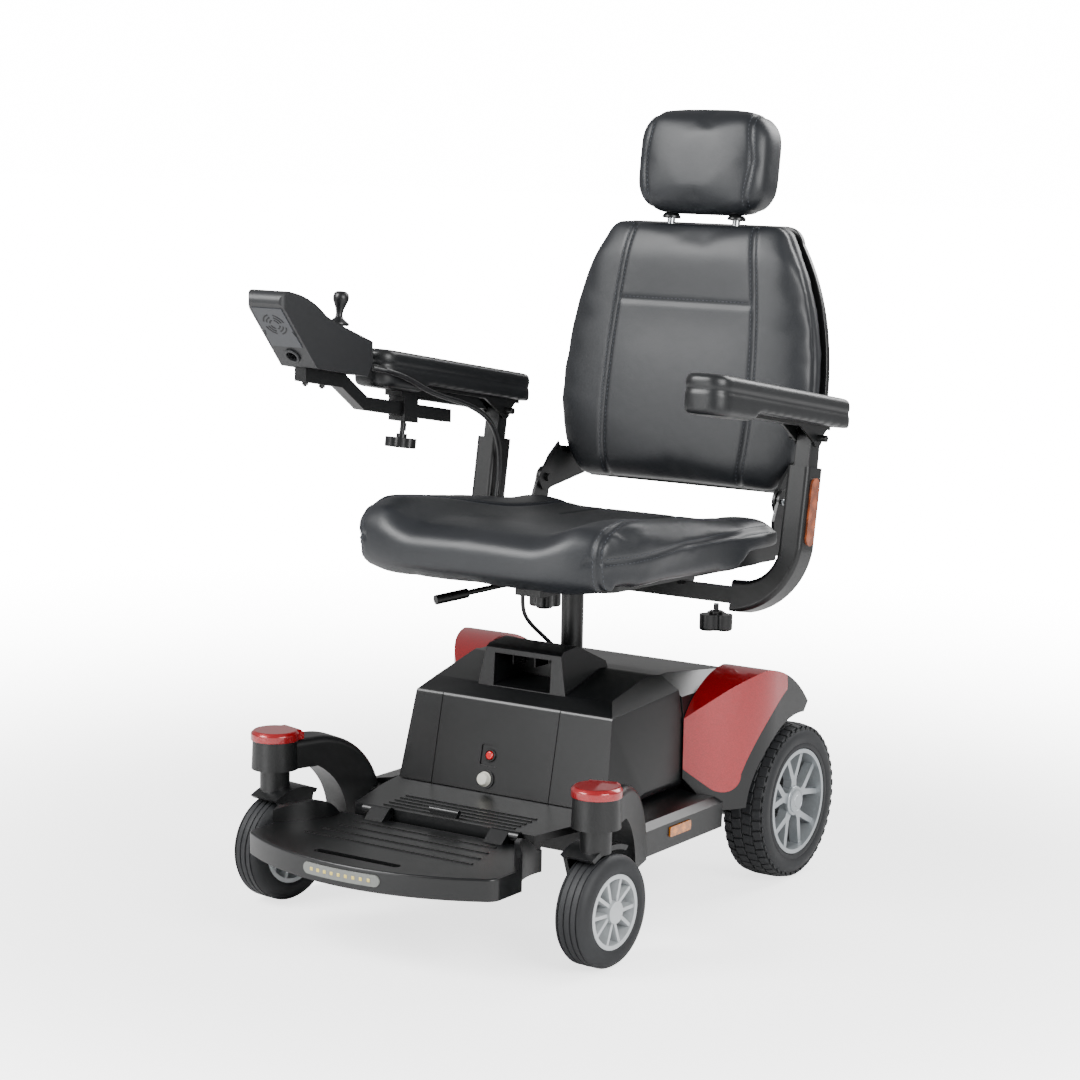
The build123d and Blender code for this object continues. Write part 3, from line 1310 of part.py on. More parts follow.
clamp_low = -BAR_DROP - BAR / 2 - CLAMP_W
clamp_plane = Plane(
    origin=(-PAD_X, CLAMP_Y, rail_z(CLAMP_Y, clamp_low)), x_dir=(1, 0, 0), z_dir=arm_up * -1
)
with BuildPart() as bar_clamp:
    with BuildSketch(cross_plane(-PAD_X)):
        Polygon(
            (CLAMP_Y - CLAMP_L / 2, rail_z(CLAMP_Y - CLAMP_L / 2, clamp_low)),
            (CLAMP_Y + CLAMP_L / 2, rail_z(CLAMP_Y + CLAMP_L / 2, clamp_low)),
            (CLAMP_Y + CLAMP_L / 2, rail_z(CLAMP_Y + CLAMP_L / 2, PAD_NOSE - GAP)),
            (CLAMP_Y - CLAMP_L / 2, rail_z(CLAMP_Y - CLAMP_L / 2, PAD_NOSE - GAP)),
            align=None,
        )
        Polygon(
            (CLAMP_Y - 26, rail_z(CLAMP_Y - 26, -2)),
            (BOLT_Y - 40, rail_z(BOLT_Y - 40, -2)),
            (BOLT_Y - 62, rail_z(BOLT_Y - 62, PAD_LOW - 5)),
            (NOTCH_Y + 26, rail_z(NOTCH_Y + 26, PAD_LOW - 5)),
            (NOTCH_Y + 4, rail_z(NOTCH_Y + 4, PAD_NOSE - GAP)),
            (CLAMP_Y - 26, rail_z(CLAMP_Y - 26, PAD_NOSE - GAP)),
            align=None,
        )
    extrude(amount=BAR / 2 + 5, both=True)
    with BuildSketch(cross_plane(-PAD_X)):
        Polygon(
            (CLAMP_Y - 60, rail_z(CLAMP_Y - 60, -BAR_DROP - BAR / 2 - GAP)),
            (CLAMP_Y + 60, rail_z(CLAMP_Y + 60, -BAR_DROP - BAR / 2 - GAP)),
            (CLAMP_Y + 60, rail_z(CLAMP_Y + 60, -BAR_DROP + BAR / 2 + GAP)),
            (CLAMP_Y - 60, rail_z(CLAMP_Y - 60, -BAR_DROP + BAR / 2 + GAP)),
            align=None,
        )
    extrude(amount=BAR / 2 + GAP, both=True, mode=Mode.SUBTRACT)
    with BuildSketch(clamp_plane.offset(-CLAMP_W - 1)):
        Circle(4 + RUN)
    extrude(amount=20, mode=Mode.SUBTRACT)
bracket_right = mirror(arm_bracket.part, about=Plane.YZ)
write(bracket_right + (bar_clamp.part - bracket_right), "arm_bracket_right")

with BuildPart() as bar_knob:
    with BuildSketch(clamp_plane.offset(-CLAMP_W + GAP)):
        Circle(4)
    extrude(amount=CLAMP_W + 20)
    with BuildSketch(clamp_plane.offset(18)):
        Circle(8)
    extrude(amount=6)
    with BuildSketch(clamp_plane.offset(24)):
        Circle(KNOB_R * 0.62)
        with PolarLocations(KNOB_R * 0.45, 3):
            Circle(KNOB_R * 0.5)
    extrude(amount=15)
    fillet(bar_knob.faces().sort_by(Axis.Z)[0].edges(), 2)
write(bar_knob.part, "bar_knob")

# ================================================================ controller pod
POD_REAR_Y = -92
POD_NOSE_Y = -304
STICK_Y = -140
STICK_Z = 790
WELL_R = 17
DISC_R = 15.5
DISC_H = 16.5
STICK_LOW = 10
STEM_TOP = 7.5
pod_low = BAR_RISE - BAR_DROP + BAR / 2
face_low = Vector(-PAD_X, BAR_FRONT_Y - 2, rail_z(BAR_FRONT_Y - 2, pod_low))
face_high = Vector(-PAD_X, POD_NOSE_Y, 842)
face_dir = (face_high - face_low).normalized()
face_plane = Plane(
    origin=face_low, x_dir=(1, 0, 0), z_dir=Vector(1, 0, 0).cross(face_dir)
)
stick_up = Vector(0, sin(radians(STICK_TILT)), cos(radians(STICK_TILT)))
pivot = Plane(origin=(-PAD_X, STICK_Y, STICK_Z), x_dir=(1, 0, 0), z_dir=stick_up)
with BuildPart() as joystick_pod:
    with BuildSketch(cross_plane(-PAD_X)):
        with BuildLine():
            Polyline(
                (POD_REAR_Y - 18, rail_z(POD_REAR_Y - 18, pod_low)),
                (BAR_FRONT_Y - 2, rail_z(BAR_FRONT_Y - 2, pod_low)),
                (POD_NOSE_Y, 842),
            )
            ThreePointArc((POD_NOSE_Y, 842), (-299, 856), (-284, 858))
            ThreePointArc((-284, 858), (-240, 844), (-206, 822))
            Polyline(
                (-206, 822),
                (-186, 812),
                (POD_REAR_Y + 1, 777),
                (POD_REAR_Y, 757),
                (POD_REAR_Y - 18, rail_z(POD_REAR_Y - 18, pod_low)),
            )
        make_face()
    extrude(amount=POD_W / 2, both=True)
    with BuildSketch(Plane.XY.offset(BOLT_Z)):
        with Locations((-PAD_X, (POD_REAR_Y + POD_NOSE_Y) / 2)):
            RectangleRounded(POD_W, POD_REAR_Y - POD_NOSE_Y + 4, 12)
    extrude(amount=300, mode=Mode.INTERSECT)
    with BuildSketch(pivot.offset(-12)):
        Circle(WELL_R)
    extrude(amount=40, mode=Mode.SUBTRACT)
    socket = face_plane.shift_origin(face_plane.from_local_coords(Vector(0, 22, 0)))
    with BuildSketch(socket):
        Circle(POD_SOCKET_R)
    extrude(amount=-POD_SOCKET_L, mode=Mode.SUBTRACT)
write(joystick_pod.part, "joystick_pod")

with BuildPart() as stick_gimbal:
    with BuildSketch(pivot.offset(-2)):
        Circle(11)
    extrude(amount=4)
    with BuildSketch(pivot):
        Circle(3)
    extrude(amount=STEM_TOP)
write(stick_gimbal.part, "stick_gimbal")

stick_side = Plane(origin=pivot.origin, x_dir=(1, 0, 0), z_dir=Vector(1, 0, 0).cross(stick_up))
with BuildPart() as joystick_stick:
    with BuildSketch(stick_side):
        with BuildLine():
            Polyline((0, STICK_LOW), (3.5, STICK_LOW), (3.5, DISC_H))
            Polyline((3.5, DISC_H), (DISC_R, DISC_H), (DISC_R - 1, DISC_H + 2))
            Polyline((DISC_R - 1, DISC_H + 2), (9, 21), (5.5, 23), (5.5, 30))
            Spline((5.5, 30), (7, 42), (11.5, 52), (10.5, 59), (0, 62))
            Line((0, 62), (0, STICK_LOW))
        make_face()
    revolve(axis=Axis(pivot.origin, stick_up))
write(joystick_stick.part, "joystick_stick")

# ================================================================ cables
def cable(points, radius):
    """Round cable: straight runs joined by tangent arcs as large as the runs allow."""
    knots = [Vector(*p) for p in points]
    radii = []
    for a, b, c in zip(knots, knots[1:], knots[2:]):
        shorter = min((b - a).length, (c - b).length)
        bend = (b - a).get_angle(c - b)
        radii.append(0.45 * shorter / tan(radians(bend / 2)))
    with BuildPart() as tube:
        with BuildLine():
            FilletPolyline(*points, radius=radii)
        with BuildSketch(Plane(origin=knots[0], z_dir=knots[1] - knots[0])):
            Circle(radius)
        sweep()
    return tube.part


joystick_route = [
    (-250, -91.5, 742),
    (-236, -74, 737),
    (-235, -26, 722),
    (-235, 14, 704),
    (-236, 58, 690),
    (-236, 104, 679),
    (-236, 150, 664),
    (-237, 190, 642),
    (-240, 216, 606),
    (-243, 222, 562),
    (-243, 214, 520),
    (-242, 209, 480),
    (-220.3, 209, 480),
]
write(cable(joystick_route, CABLE_R), "joystick_cable")

post_route = [
    (-34, -20, 425.5),
    (-34, -21, 406),
    (-29, -12, 386),
    (-21, 16, 362),
    (-13, 40, 340),
    (-12, 43, 320),
    (-12, 43, 296.3),
]
write(cable(post_route, POST_CABLE_R), "post_cable")
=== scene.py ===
"""Power wheelchair: dresses the CAD frame in upholstery, paint, rubber and trim.

Sizes are in millimetres on the same drawing datum as the CAD model, and at() turns a
place on that datum into the frame's metres. +Z is up, the chair faces -Y and the
occupant's left is +X.
"""

import json
import math

import bmesh
import bpy
import numpy as np
from bpy.props import FloatProperty, IntProperty, PointerProperty, StringProperty
from mathutils import Matrix, Vector
from mathutils.bvhtree import BVHTree


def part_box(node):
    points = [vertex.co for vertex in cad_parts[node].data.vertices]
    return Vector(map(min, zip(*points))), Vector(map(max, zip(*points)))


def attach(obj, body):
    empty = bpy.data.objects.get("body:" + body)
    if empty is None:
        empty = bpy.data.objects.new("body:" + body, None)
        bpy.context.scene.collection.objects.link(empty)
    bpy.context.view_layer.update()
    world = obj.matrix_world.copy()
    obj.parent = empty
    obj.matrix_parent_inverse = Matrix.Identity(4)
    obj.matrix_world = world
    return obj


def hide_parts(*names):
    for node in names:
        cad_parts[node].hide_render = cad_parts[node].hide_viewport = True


bl_info = {
    "name": "Power Wheelchair",
    "version": (1, 0, 0),
    "blender": (4, 5, 0),
    "location": "View3D > Sidebar > Wheelchair",
    "description": "Upholstery, tyres, trim and finishes for a power wheelchair frame",
    "category": "Add Mesh",
}

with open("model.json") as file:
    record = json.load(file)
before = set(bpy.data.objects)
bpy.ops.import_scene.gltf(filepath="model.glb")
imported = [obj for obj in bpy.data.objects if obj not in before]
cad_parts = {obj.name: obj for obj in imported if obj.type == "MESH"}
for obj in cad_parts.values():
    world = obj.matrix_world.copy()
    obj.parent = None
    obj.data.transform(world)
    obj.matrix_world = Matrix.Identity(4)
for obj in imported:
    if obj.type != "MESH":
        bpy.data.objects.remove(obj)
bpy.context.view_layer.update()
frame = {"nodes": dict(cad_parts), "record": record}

MM = 0.001
DATUM_Y = 14  # the CAD model is moved back by this from its drawing datum

# ---------------------------------------------------------------- places from the CAD
SEAT_TILT = math.radians(1.5)
SEAT_ORIGIN = Vector((0, 59, 466.5))
SEAT_ALONG = Vector((0, math.cos(SEAT_TILT), -math.sin(SEAT_TILT)))
SEAT_UP = Vector((0, math.sin(SEAT_TILT), math.cos(SEAT_TILT)))
SEAT_TOP = 80
SEAT_HALF = 228

BACK_TILT = math.radians(7.5)
BACK_ORIGIN = Vector((0, 319, 562))
BACK_UP = Vector((0, math.sin(BACK_TILT), math.cos(BACK_TILT)))
BACK_OUT = Vector((0, -math.cos(BACK_TILT), math.sin(BACK_TILT)))
BACK_DEPTH = 55
HEAD_LOW = 404
HEAD_TALL = 157

ARM_TILT = math.radians(9.4)
ARM_FORWARD = Vector((0, -math.cos(ARM_TILT), math.sin(ARM_TILT)))
ARM_UP = Vector((0, math.sin(ARM_TILT), math.cos(ARM_TILT)))
ARM_BOLT = Vector((0, 255, 652))
PAD_X = 278

POD_FACE_ORIGIN = Vector((-PAD_X, -226, 749.6))
POD_FACE_UP = Vector((0, -78, 92.4)).normalized()
POD_FACE_OUT = Vector((1, 0, 0)).cross(POD_FACE_UP)
CHARGER_V = 22
GRILLE_V = 82
STICK_PIVOT = Vector((-PAD_X, -140, 790))

CASE_FRONT_ORIGIN = Vector((0, -120, 158))
CASE_FRONT_OUT = Vector((0, -126, 27)).normalized()
CASE_FRONT_UP = CASE_FRONT_OUT.cross(Vector((1, 0, 0)))
RESET_X, RESET_V = -26, 52
PORT_X, PORT_V = -28, 18

WHEEL_CENTRE = Vector((239, 260, 114.3))
WHEEL_R = 114.3
CASTER_PIVOT = Vector((267.4, -290, 0))
CASTER_R = 76.2
CASTER_TRAIL = 14.5
CASTER_TURN = {"left": math.radians(-3.5), "right": math.radians(-7.5)}


def at(x, y, z):
    """A place on the drawing datum, in the frame's metres."""
    return Vector((x, y + DATUM_Y, z)) * MM


def on_seat(x, along, up):
    """A place measured on the seat: across, rearwards and upwards."""
    return at(*(SEAT_ORIGIN + Vector((x, 0, 0)) + along * SEAT_ALONG + up * SEAT_UP))


def on_back(x, up, out):
    """A place measured on the backrest: across, up it and out of its front."""
    return at(*(BACK_ORIGIN + Vector((x, 0, 0)) + up * BACK_UP + out * BACK_OUT))


def on_plane(origin, up, out, x, v, lift=0.0):
    """A place on a face that stands across the chair."""
    return at(*(origin + Vector((x, 0, 0)) + v * up + lift * out))


def axes_matrix(origin, x_axis, y_axis, z_axis):
    """Turn and move from a piece's own axes to the frame."""
    turn = Matrix((x_axis, y_axis, z_axis)).transposed()
    return Matrix.Translation(origin) @ turn.to_4x4()


def linear(hex_colour):
    """An sRGB hex colour as linear RGBA."""
    raw = hex_colour.lstrip("#")
    channels = [int(raw[i : i + 2], 16) / 255 for i in (0, 2, 4)]
    return [c / 12.92 if c <= 0.04045 else ((c + 0.055) / 1.055) ** 2.4 for c in channels] + [1.0]


# ---------------------------------------------------------------- settings
class ChairColours(bpy.types.PropertyGroup):
    """Colours of the chair's finishes, as sRGB hex."""

    vinyl: StringProperty(name="Vinyl", description="Upholstery", default="#2a2e35")
    plastic: StringProperty(name="Mouldings", description="Black body panels", default="#17181a")
    steel: StringProperty(name="Frame", description="Powder coat", default="#141517")
    red: StringProperty(name="Accent", description="Metallic fender panels", default="#b3121d")
    rim: StringProperty(name="Rims", description="Drive wheel rims", default="#a2a7aa")
    tyre: StringProperty(name="Tyres", description="Solid rubber", default="#25282c")


class ChairUpholstery(bpy.types.PropertyGroup):
    """Sizes of the cushions' padding and sewing."""

    seat_swell: FloatProperty(
        name="Seat swell", description="Most the seat may puff", default=0.005, subtype="DISTANCE"
    )
    back_swell: FloatProperty(
        name="Back swell", description="Most the backrest may puff", default=0.006, subtype="DISTANCE"
    )
    pressure: FloatProperty(name="Pressure", description="Air pressure in the covers", default=4.0)
    seam_depth: FloatProperty(
        name="Seam depth", description="How far a seam sinks", default=0.0032, subtype="DISTANCE"
    )
    seam_width: FloatProperty(
        name="Seam width", description="Width of a seam's valley", default=0.0042, subtype="DISTANCE"
    )
    stitch_pitch: FloatProperty(
        name="Stitch pitch", description="Spacing of stitches", default=0.0066, subtype="DISTANCE"
    )


class ChairTreads(bpy.types.PropertyGroup):
    """Sizes of the drive tyres' tread."""

    blocks: IntProperty(name="Blocks", description="Tread blocks in each row", default=44, min=8)
    depth: FloatProperty(
        name="Tread depth", description="Height of a block", default=0.002, subtype="DISTANCE"
    )


# ---------------------------------------------------------------- node helper
def node(tree, kind, inputs=None, **settings):
    """Add a node, set its properties, and set or link its inputs."""
    made = tree.nodes.new(kind)
    for name, value in settings.items():
        setattr(made, name, value)
    for socket, value in (inputs or {}).items():
        if isinstance(value, bpy.types.NodeSocket):
            tree.links.new(value, made.inputs[socket])
        else:
            made.inputs[socket].default_value = value
    return made


# ---------------------------------------------------------------- materials
def start_material(name, colour, roughness, metallic=0.0, **sockets):
    """One Principled surface and the piece's own coordinates."""
    made = bpy.data.materials.new(name)
    made.use_nodes = True
    tree = made.node_tree
    shader = tree.nodes["Principled BSDF"]
    shader.inputs["Base Color"].default_value = linear(colour)
    shader.inputs["Roughness"].default_value = roughness
    shader.inputs["Metallic"].default_value = metallic
    for socket, value in sockets.items():
        shader.inputs[socket.replace("_", " ")].default_value = value
    place = node(tree, "ShaderNodeTexCoord").outputs["Object"]
    return made, tree, shader, place


def vary(tree, shader, place, patch_mm, low, high, low_rough, high_rough):
    """Let colour and roughness drift over patches of this size."""
    drift = node(
        tree,
        "ShaderNodeTexNoise",
        {"Vector": place, "Scale": 1000 / patch_mm, "Detail": 4.0, "Roughness": 0.6},
    ).outputs["Fac"]
    tint = node(
        tree, "ShaderNodeMix", {0: drift, 6: linear(low), 7: linear(high)}, data_type="RGBA"
    )
    tree.links.new(tint.outputs[2], shader.inputs["Base Color"])
    gloss = node(
        tree, "ShaderNodeMapRange", {"Value": drift, "To Min": low_rough, "To Max": high_rough}
    )
    tree.links.new(gloss.outputs["Result"], shader.inputs["Roughness"])
    return drift


def relief(tree, shader, layers):
    """Bump the surface with a chain of (height socket, depth in mm, strength) layers."""
    normal = None
    for height, depth_mm, strength in layers:
        inputs = {"Height": height, "Distance": depth_mm * MM, "Strength": strength}
        if normal is not None:
            inputs["Normal"] = normal
        normal = node(tree, "ShaderNodeBump", inputs).outputs["Normal"]
    tree.links.new(normal, shader.inputs["Normal"])


def upholstery_vinyl(colours):
    """Calendered vinyl with an embossed leather grain: a soft broad sheen and fine pores."""
    made, tree, shader, place = start_material("upholstery vinyl", colours.vinyl, 0.4)
    shader.inputs["Coat Weight"].default_value = 0.12
    shader.inputs["Coat Roughness"].default_value = 0.35
    vary(tree, shader, place, 70, "#101317", "#16191e", 0.40, 0.50)
    # Real grain is about 1 mm; it is drawn at 1.8 mm so that it shows.
    pores = node(
        tree,
        "ShaderNodeTexVoronoi",
        {"Vector": place, "Scale": 1000 / 1.8, "Randomness": 1.0},
        feature="DISTANCE_TO_EDGE",
    ).outputs["Distance"]
    pebble = node(
        tree, "ShaderNodeMapRange", {"Value": pores, "From Max": 0.35}
    ).outputs["Result"]
    creases = node(
        tree, "ShaderNodeTexNoise", {"Vector": place, "Scale": 1000 / 26, "Detail": 3.0}
    ).outputs["Fac"]
    relief(tree, shader, [(creases, 0.8, 0.35), (pebble, 0.12, 0.30)])
    return made


def integral_skin_foam():
    """Self-skinned polyurethane: smooth and slightly rubbery, with a faint pebble."""
    made, tree, shader, place = start_material("integral skin foam", "#1d1f22", 0.38)
    vary(tree, shader, place, 45, "#0f1012", "#151719", 0.33, 0.45)
    pebble = node(
        tree, "ShaderNodeTexNoise", {"Vector": place, "Scale": 1000 / 1.4, "Detail": 2.0}
    ).outputs["Fac"]
    relief(tree, shader, [(pebble, 0.08, 0.35)])
    return made


def moulded_abs(colours):
    """Injection-moulded ABS with a spark-eroded texture: satin black, broad highlights."""
    made, tree, shader, place = start_material("moulded satin ABS", colours.plastic, 0.34)
    vary(tree, shader, place, 110, "#090a0b", "#0e0f10", 0.27, 0.36)
    # The mould's grain is about 0.5 mm; it is drawn at 1.1 mm so that it shows.
    grain = node(
        tree, "ShaderNodeTexNoise", {"Vector": place, "Scale": 1000 / 1.1, "Detail": 2.0}
    ).outputs["Fac"]
    relief(tree, shader, [(grain, 0.05, 0.30)])
    return made


def powder_coat(colours):
    """Powder-coated steel: satin black with orange peel, and a faint drift in tone and gloss."""
    made, tree, shader, place = start_material("satin powder coat", colours.steel, 0.4)
    vary(tree, shader, place, 60, "#08090a", "#0d0e0f", 0.32, 0.44)
    peel = node(
        tree, "ShaderNodeTexNoise", {"Vector": place, "Scale": 1000 / 2.4, "Detail": 1.0}
    ).outputs["Fac"]
    relief(tree, shader, [(peel, 0.08, 0.35)])
    return made


def candy_red(colours):
    """Candy red over metallic base under clear coat: deep colour, flakes, sharp highlights."""
    made, tree, shader, place = start_material("candy red paint", colours.red, 0.3, 0.35)
    shader.inputs["Coat Weight"].default_value = 1.0
    shader.inputs["Coat Roughness"].default_value = 0.04
    flakes = node(
        tree, "ShaderNodeTexVoronoi", {"Vector": place, "Scale": 1000 / 0.9}
    ).outputs["Color"]
    sparkle = node(tree, "ShaderNodeSeparateColor", {"Color": flakes}).outputs["Red"]
    tint = node(
        tree,
        "ShaderNodeMix",
        {0: sparkle, 6: linear("#84060e"), 7: linear("#a20d17")},
        data_type="RGBA",
    )
    tree.links.new(tint.outputs[2], shader.inputs["Base Color"])
    relief(tree, shader, [(sparkle, 0.02, 0.15)])
    return made


def tyre_rubber(colours):
    """Solid non-marking rubber: dull blue-black with a fine moulding grain and light dust."""
    made, tree, shader, place = start_material("solid tyre rubber", colours.tyre, 0.6)
    vary(tree, shader, place, 30, "#0f1114", "#17191c", 0.5, 0.68)
    grain = node(
        tree, "ShaderNodeTexNoise", {"Vector": place, "Scale": 1000 / 1.2, "Detail": 3.0}
    ).outputs["Fac"]
    relief(tree, shader, [(grain, 0.12, 0.4)])
    return made


def silver_paint(colours):
    """Silver wheel paint on cast aluminium: fine metallic, satin, slightly pebbled."""
    made, tree, shader, place = start_material("silver wheel paint", colours.rim, 0.36, 0.55)
    vary(tree, shader, place, 40, "#979c9f", "#b2b7ba", 0.3, 0.42)
    grain = node(
        tree, "ShaderNodeTexNoise", {"Vector": place, "Scale": 1000 / 1.6, "Detail": 2.0}
    ).outputs["Fac"]
    relief(tree, shader, [(grain, 0.06, 0.3)])
    return made


def glass_filled_nylon():
    """Glass-filled nylon wheel centre: light grey, semi-matt, with a slight flow mottle."""
    made, tree, shader, place = start_material("glass filled nylon", "#b4b8ba", 0.4)
    vary(tree, shader, place, 18, "#a5a9ab", "#c3c7c9", 0.34, 0.46)
    grain = node(
        tree, "ShaderNodeTexNoise", {"Vector": place, "Scale": 1000 / 1.0, "Detail": 2.0}
    ).outputs["Fac"]
    relief(tree, shader, [(grain, 0.05, 0.3)])
    return made


def reflector(name, colour, cell_mm, slant):
    """Acrylic reflector: a clear face over rows of small prisms, here as crossed ridges."""
    made, tree, shader, place = start_material(name, colour, 0.16)
    shader.inputs["Coat Weight"].default_value = 1.0
    shader.inputs["Coat Roughness"].default_value = 0.08
    heights = []
    for turn in (slant, -slant):
        turned = node(
            tree, "ShaderNodeMapping", {"Vector": place, "Rotation": (math.radians(turn), 0, 0)}
        ).outputs["Vector"]
        heights.append(
            node(
                tree,
                "ShaderNodeTexWave",
                {"Vector": turned, "Scale": 1000 / cell_mm / 20, "Distortion": 0.0},
                bands_direction="Y",
            ).outputs["Fac"]
        )
    prisms = node(
        tree, "ShaderNodeMath", {0: heights[0], 1: heights[1]}, operation="MINIMUM"
    ).outputs[0]
    # Painted shade: the colour falls to under half its tint low between the ridges, where shade falls.
    valley_shade = [c * 0.45 for c in linear(colour)[:3]] + [1.0]
    tint = node(
        tree, "ShaderNodeMix", {0: prisms, 6: valley_shade, 7: linear(colour)}, data_type="RGBA"
    )
    tree.links.new(tint.outputs[2], shader.inputs["Base Color"])
    relief(tree, shader, [(prisms, 0.4, 0.6)])
    return made


def plain_moulding(name, colour, roughness, grain_mm=1.2, coat=0.0):
    """Small moulded piece: an even colour with a very fine grain."""
    made, tree, shader, place = start_material(name, colour, roughness)
    shader.inputs["Coat Weight"].default_value = coat
    grain = node(
        tree, "ShaderNodeTexNoise", {"Vector": place, "Scale": 1000 / grain_mm, "Detail": 2.0}
    ).outputs["Fac"]
    gloss = node(
        tree,
        "ShaderNodeMapRange",
        {"Value": grain, "To Min": roughness * 0.85, "To Max": roughness * 1.2},
    )
    tree.links.new(gloss.outputs["Result"], shader.inputs["Roughness"])
    relief(tree, shader, [(grain, 0.05, 0.25)])
    return made


def plated_steel(name, colour, roughness):
    """Plated steel: bright and hard, with faint turning marks."""
    made, tree, shader, place = start_material(name, colour, roughness, 1.0)
    marks = node(
        tree, "ShaderNodeTexNoise", {"Vector": place, "Scale": 1000 / 3.0, "Detail": 5.0}
    ).outputs["Fac"]
    gloss = node(
        tree,
        "ShaderNodeMapRange",
        {"Value": marks, "To Min": roughness * 0.7, "To Max": roughness * 1.5},
    )
    tree.links.new(gloss.outputs["Result"], shader.inputs["Roughness"])
    relief(tree, shader, [(marks, 0.02, 0.2)])
    return made


def clear_polycarbonate():
    """Clear moulded lens with fine flutes that spread the light."""
    made, tree, shader, place = start_material("clear polycarbonate", "#8a8d88", 0.12)
    shader.inputs["Transmission Weight"].default_value = 0.35
    shader.inputs["IOR"].default_value = 1.58
    flutes = node(
        tree,
        "ShaderNodeTexWave",
        {"Vector": place, "Scale": 1000 / 2.5 / 20},
        bands_direction="X",
    ).outputs["Fac"]
    relief(tree, shader, [(flutes, 0.3, 0.4)])
    return made


def make_materials():
    """Every finish on the chair, by the name of its slot in the record."""
    colours = bpy.context.scene.chair_colours
    return {
        "upholstery": upholstery_vinyl(colours),
        "pad_skin": integral_skin_foam(),
        "satin_black_plastic": moulded_abs(colours),
        "black_steel": powder_coat(colours),
        "gloss_red_panel": candy_red(colours),
        "wheel_rubber": tyre_rubber(colours),
        "rim_silver": silver_paint(colours),
        "caster_rim_grey": glass_filled_nylon(),
        "amber_lens": reflector("amber acrylic reflector", "#e07f00", 2.6, 45),
        "orange_reflector": reflector("orange acrylic reflector", "#a8542c", 3.6, 45),
        "red_button": plain_moulding("red acetal", "#c8141b", 0.22, coat=0.6),
        "white_cap": plain_moulding("natural nylon", "#c9c8bd", 0.4),
        "clear_lens": clear_polycarbonate(),
        "bright_steel": plated_steel("bright plated steel", "#b9bcbe", 0.14),
        "zinc": plated_steel("zinc plated steel", "#a9adb0", 0.32),
        "cable_sheath": plain_moulding("black PVC sheath", "#101113", 0.36, 1.6),
        "controller_shell": plain_moulding("textured ABS", "#1f2022", 0.42, 0.9),
        "controller_face": plain_moulding("grey ABS face", "#34363a", 0.34, 0.9),
        "thread": plain_moulding("bonded polyester thread", "#3a3e45", 0.55, 0.6),
        # Painted shade: a near-black that stands for the shade in openings and recesses.
        "shadow": plain_moulding("near-black painted shade", "#08090a", 0.6),
        "led": plain_moulding("yellow LED chip", "#d9c25a", 0.25, coat=0.5),
    }


MATERIALS = {}


# ---------------------------------------------------------------- making pieces
CLOTH_SHARP = 60  # degrees: a padded cover has no edge sharper than this


def shade(mesh, sharp):
    """Smooth shading that breaks at edges sharper than this angle in degrees."""
    mesh.polygons.foreach_set("use_smooth", [True] * len(mesh.polygons))
    mesh.set_sharp_from_angle(angle=math.radians(sharp))


def finish_piece(name, mesh, finish, body, stands_for=(), sharp=35):
    """Name a mesh, give it a finish and smooth shading, and hang it on its body."""
    mesh.name = name
    mesh.materials.clear()
    mesh.materials.append(MATERIALS[finish])
    if sharp:
        shade(mesh, sharp)
    made = bpy.data.objects.new(name, mesh)
    bpy.context.scene.collection.objects.link(made)
    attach(made, body)
    if stands_for:
        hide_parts(*stands_for)
    return made


def from_bmesh(shape):
    """A mesh from a bmesh, with outward faces."""
    bmesh.ops.recalc_face_normals(shape, faces=shape.faces)
    mesh = bpy.data.meshes.new("piece")
    shape.to_mesh(mesh)
    shape.free()
    return mesh


def joined(meshes):
    """Several meshes as one."""
    shape = bmesh.new()
    for mesh in meshes:
        shape.from_mesh(mesh)
    made = bpy.data.meshes.new("piece")
    shape.to_mesh(made)
    shape.free()
    return made


def rounded_box(size, radius, matrix, segments=2):
    """A block with eased edges, sized in millimetres."""
    shape = bmesh.new()
    bmesh.ops.create_cube(shape, size=1.0)
    bmesh.ops.scale(shape, vec=Vector(size) * MM, verts=shape.verts)
    bmesh.ops.bevel(
        shape, geom=shape.edges[:], offset=radius * MM, segments=segments, affect="EDGES"
    )
    shape.transform(matrix)
    return from_bmesh(shape)


def turned(profile, steps, matrix):
    """A ring or knob turned about its own Z axis from a closed (radius, height) outline in mm."""
    shape = bmesh.new()
    rings = []
    for step in range(steps):
        angle = 2 * math.pi * step / steps
        rings.append(
            [
                shape.verts.new((r * math.cos(angle) * MM, r * math.sin(angle) * MM, h * MM))
                for r, h in profile
            ]
        )
    for step in range(steps):
        here, there = rings[step], rings[(step + 1) % steps]
        for i in range(len(profile)):
            j = (i + 1) % len(profile)
            if profile[i][0] == 0 and profile[j][0] == 0:
                continue
            shape.faces.new((here[i], there[i], there[j], here[j]))
    bmesh.ops.remove_doubles(shape, verts=shape.verts, dist=1e-6)
    bmesh.ops.dissolve_degenerate(shape, edges=shape.edges, dist=1e-7)
    shape.transform(matrix)
    return from_bmesh(shape)


def arc_bar(radius, width, height, middle, span, matrix, steps=10):
    """A short curved bar, as on a loudspeaker grille."""
    shape = bmesh.new()
    rows = []
    for step in range(steps + 1):
        angle = middle - span / 2 + span * step / steps
        ring = []
        for r, h in (
            (radius - width / 2, 0),
            (radius + width / 2, 0),
            (radius + width / 2, height),
            (radius - width / 2, height),
        ):
            ring.append(
                shape.verts.new((r * math.cos(angle) * MM, r * math.sin(angle) * MM, h * MM))
            )
        rows.append(ring)
    for here, there in zip(rows, rows[1:]):
        for i in range(4):
            shape.faces.new((here[i], here[(i + 1) % 4], there[(i + 1) % 4], there[i]))
    shape.faces.new(rows[0])
    shape.faces.new(rows[-1])
    shape.transform(matrix)
    return from_bmesh(shape)


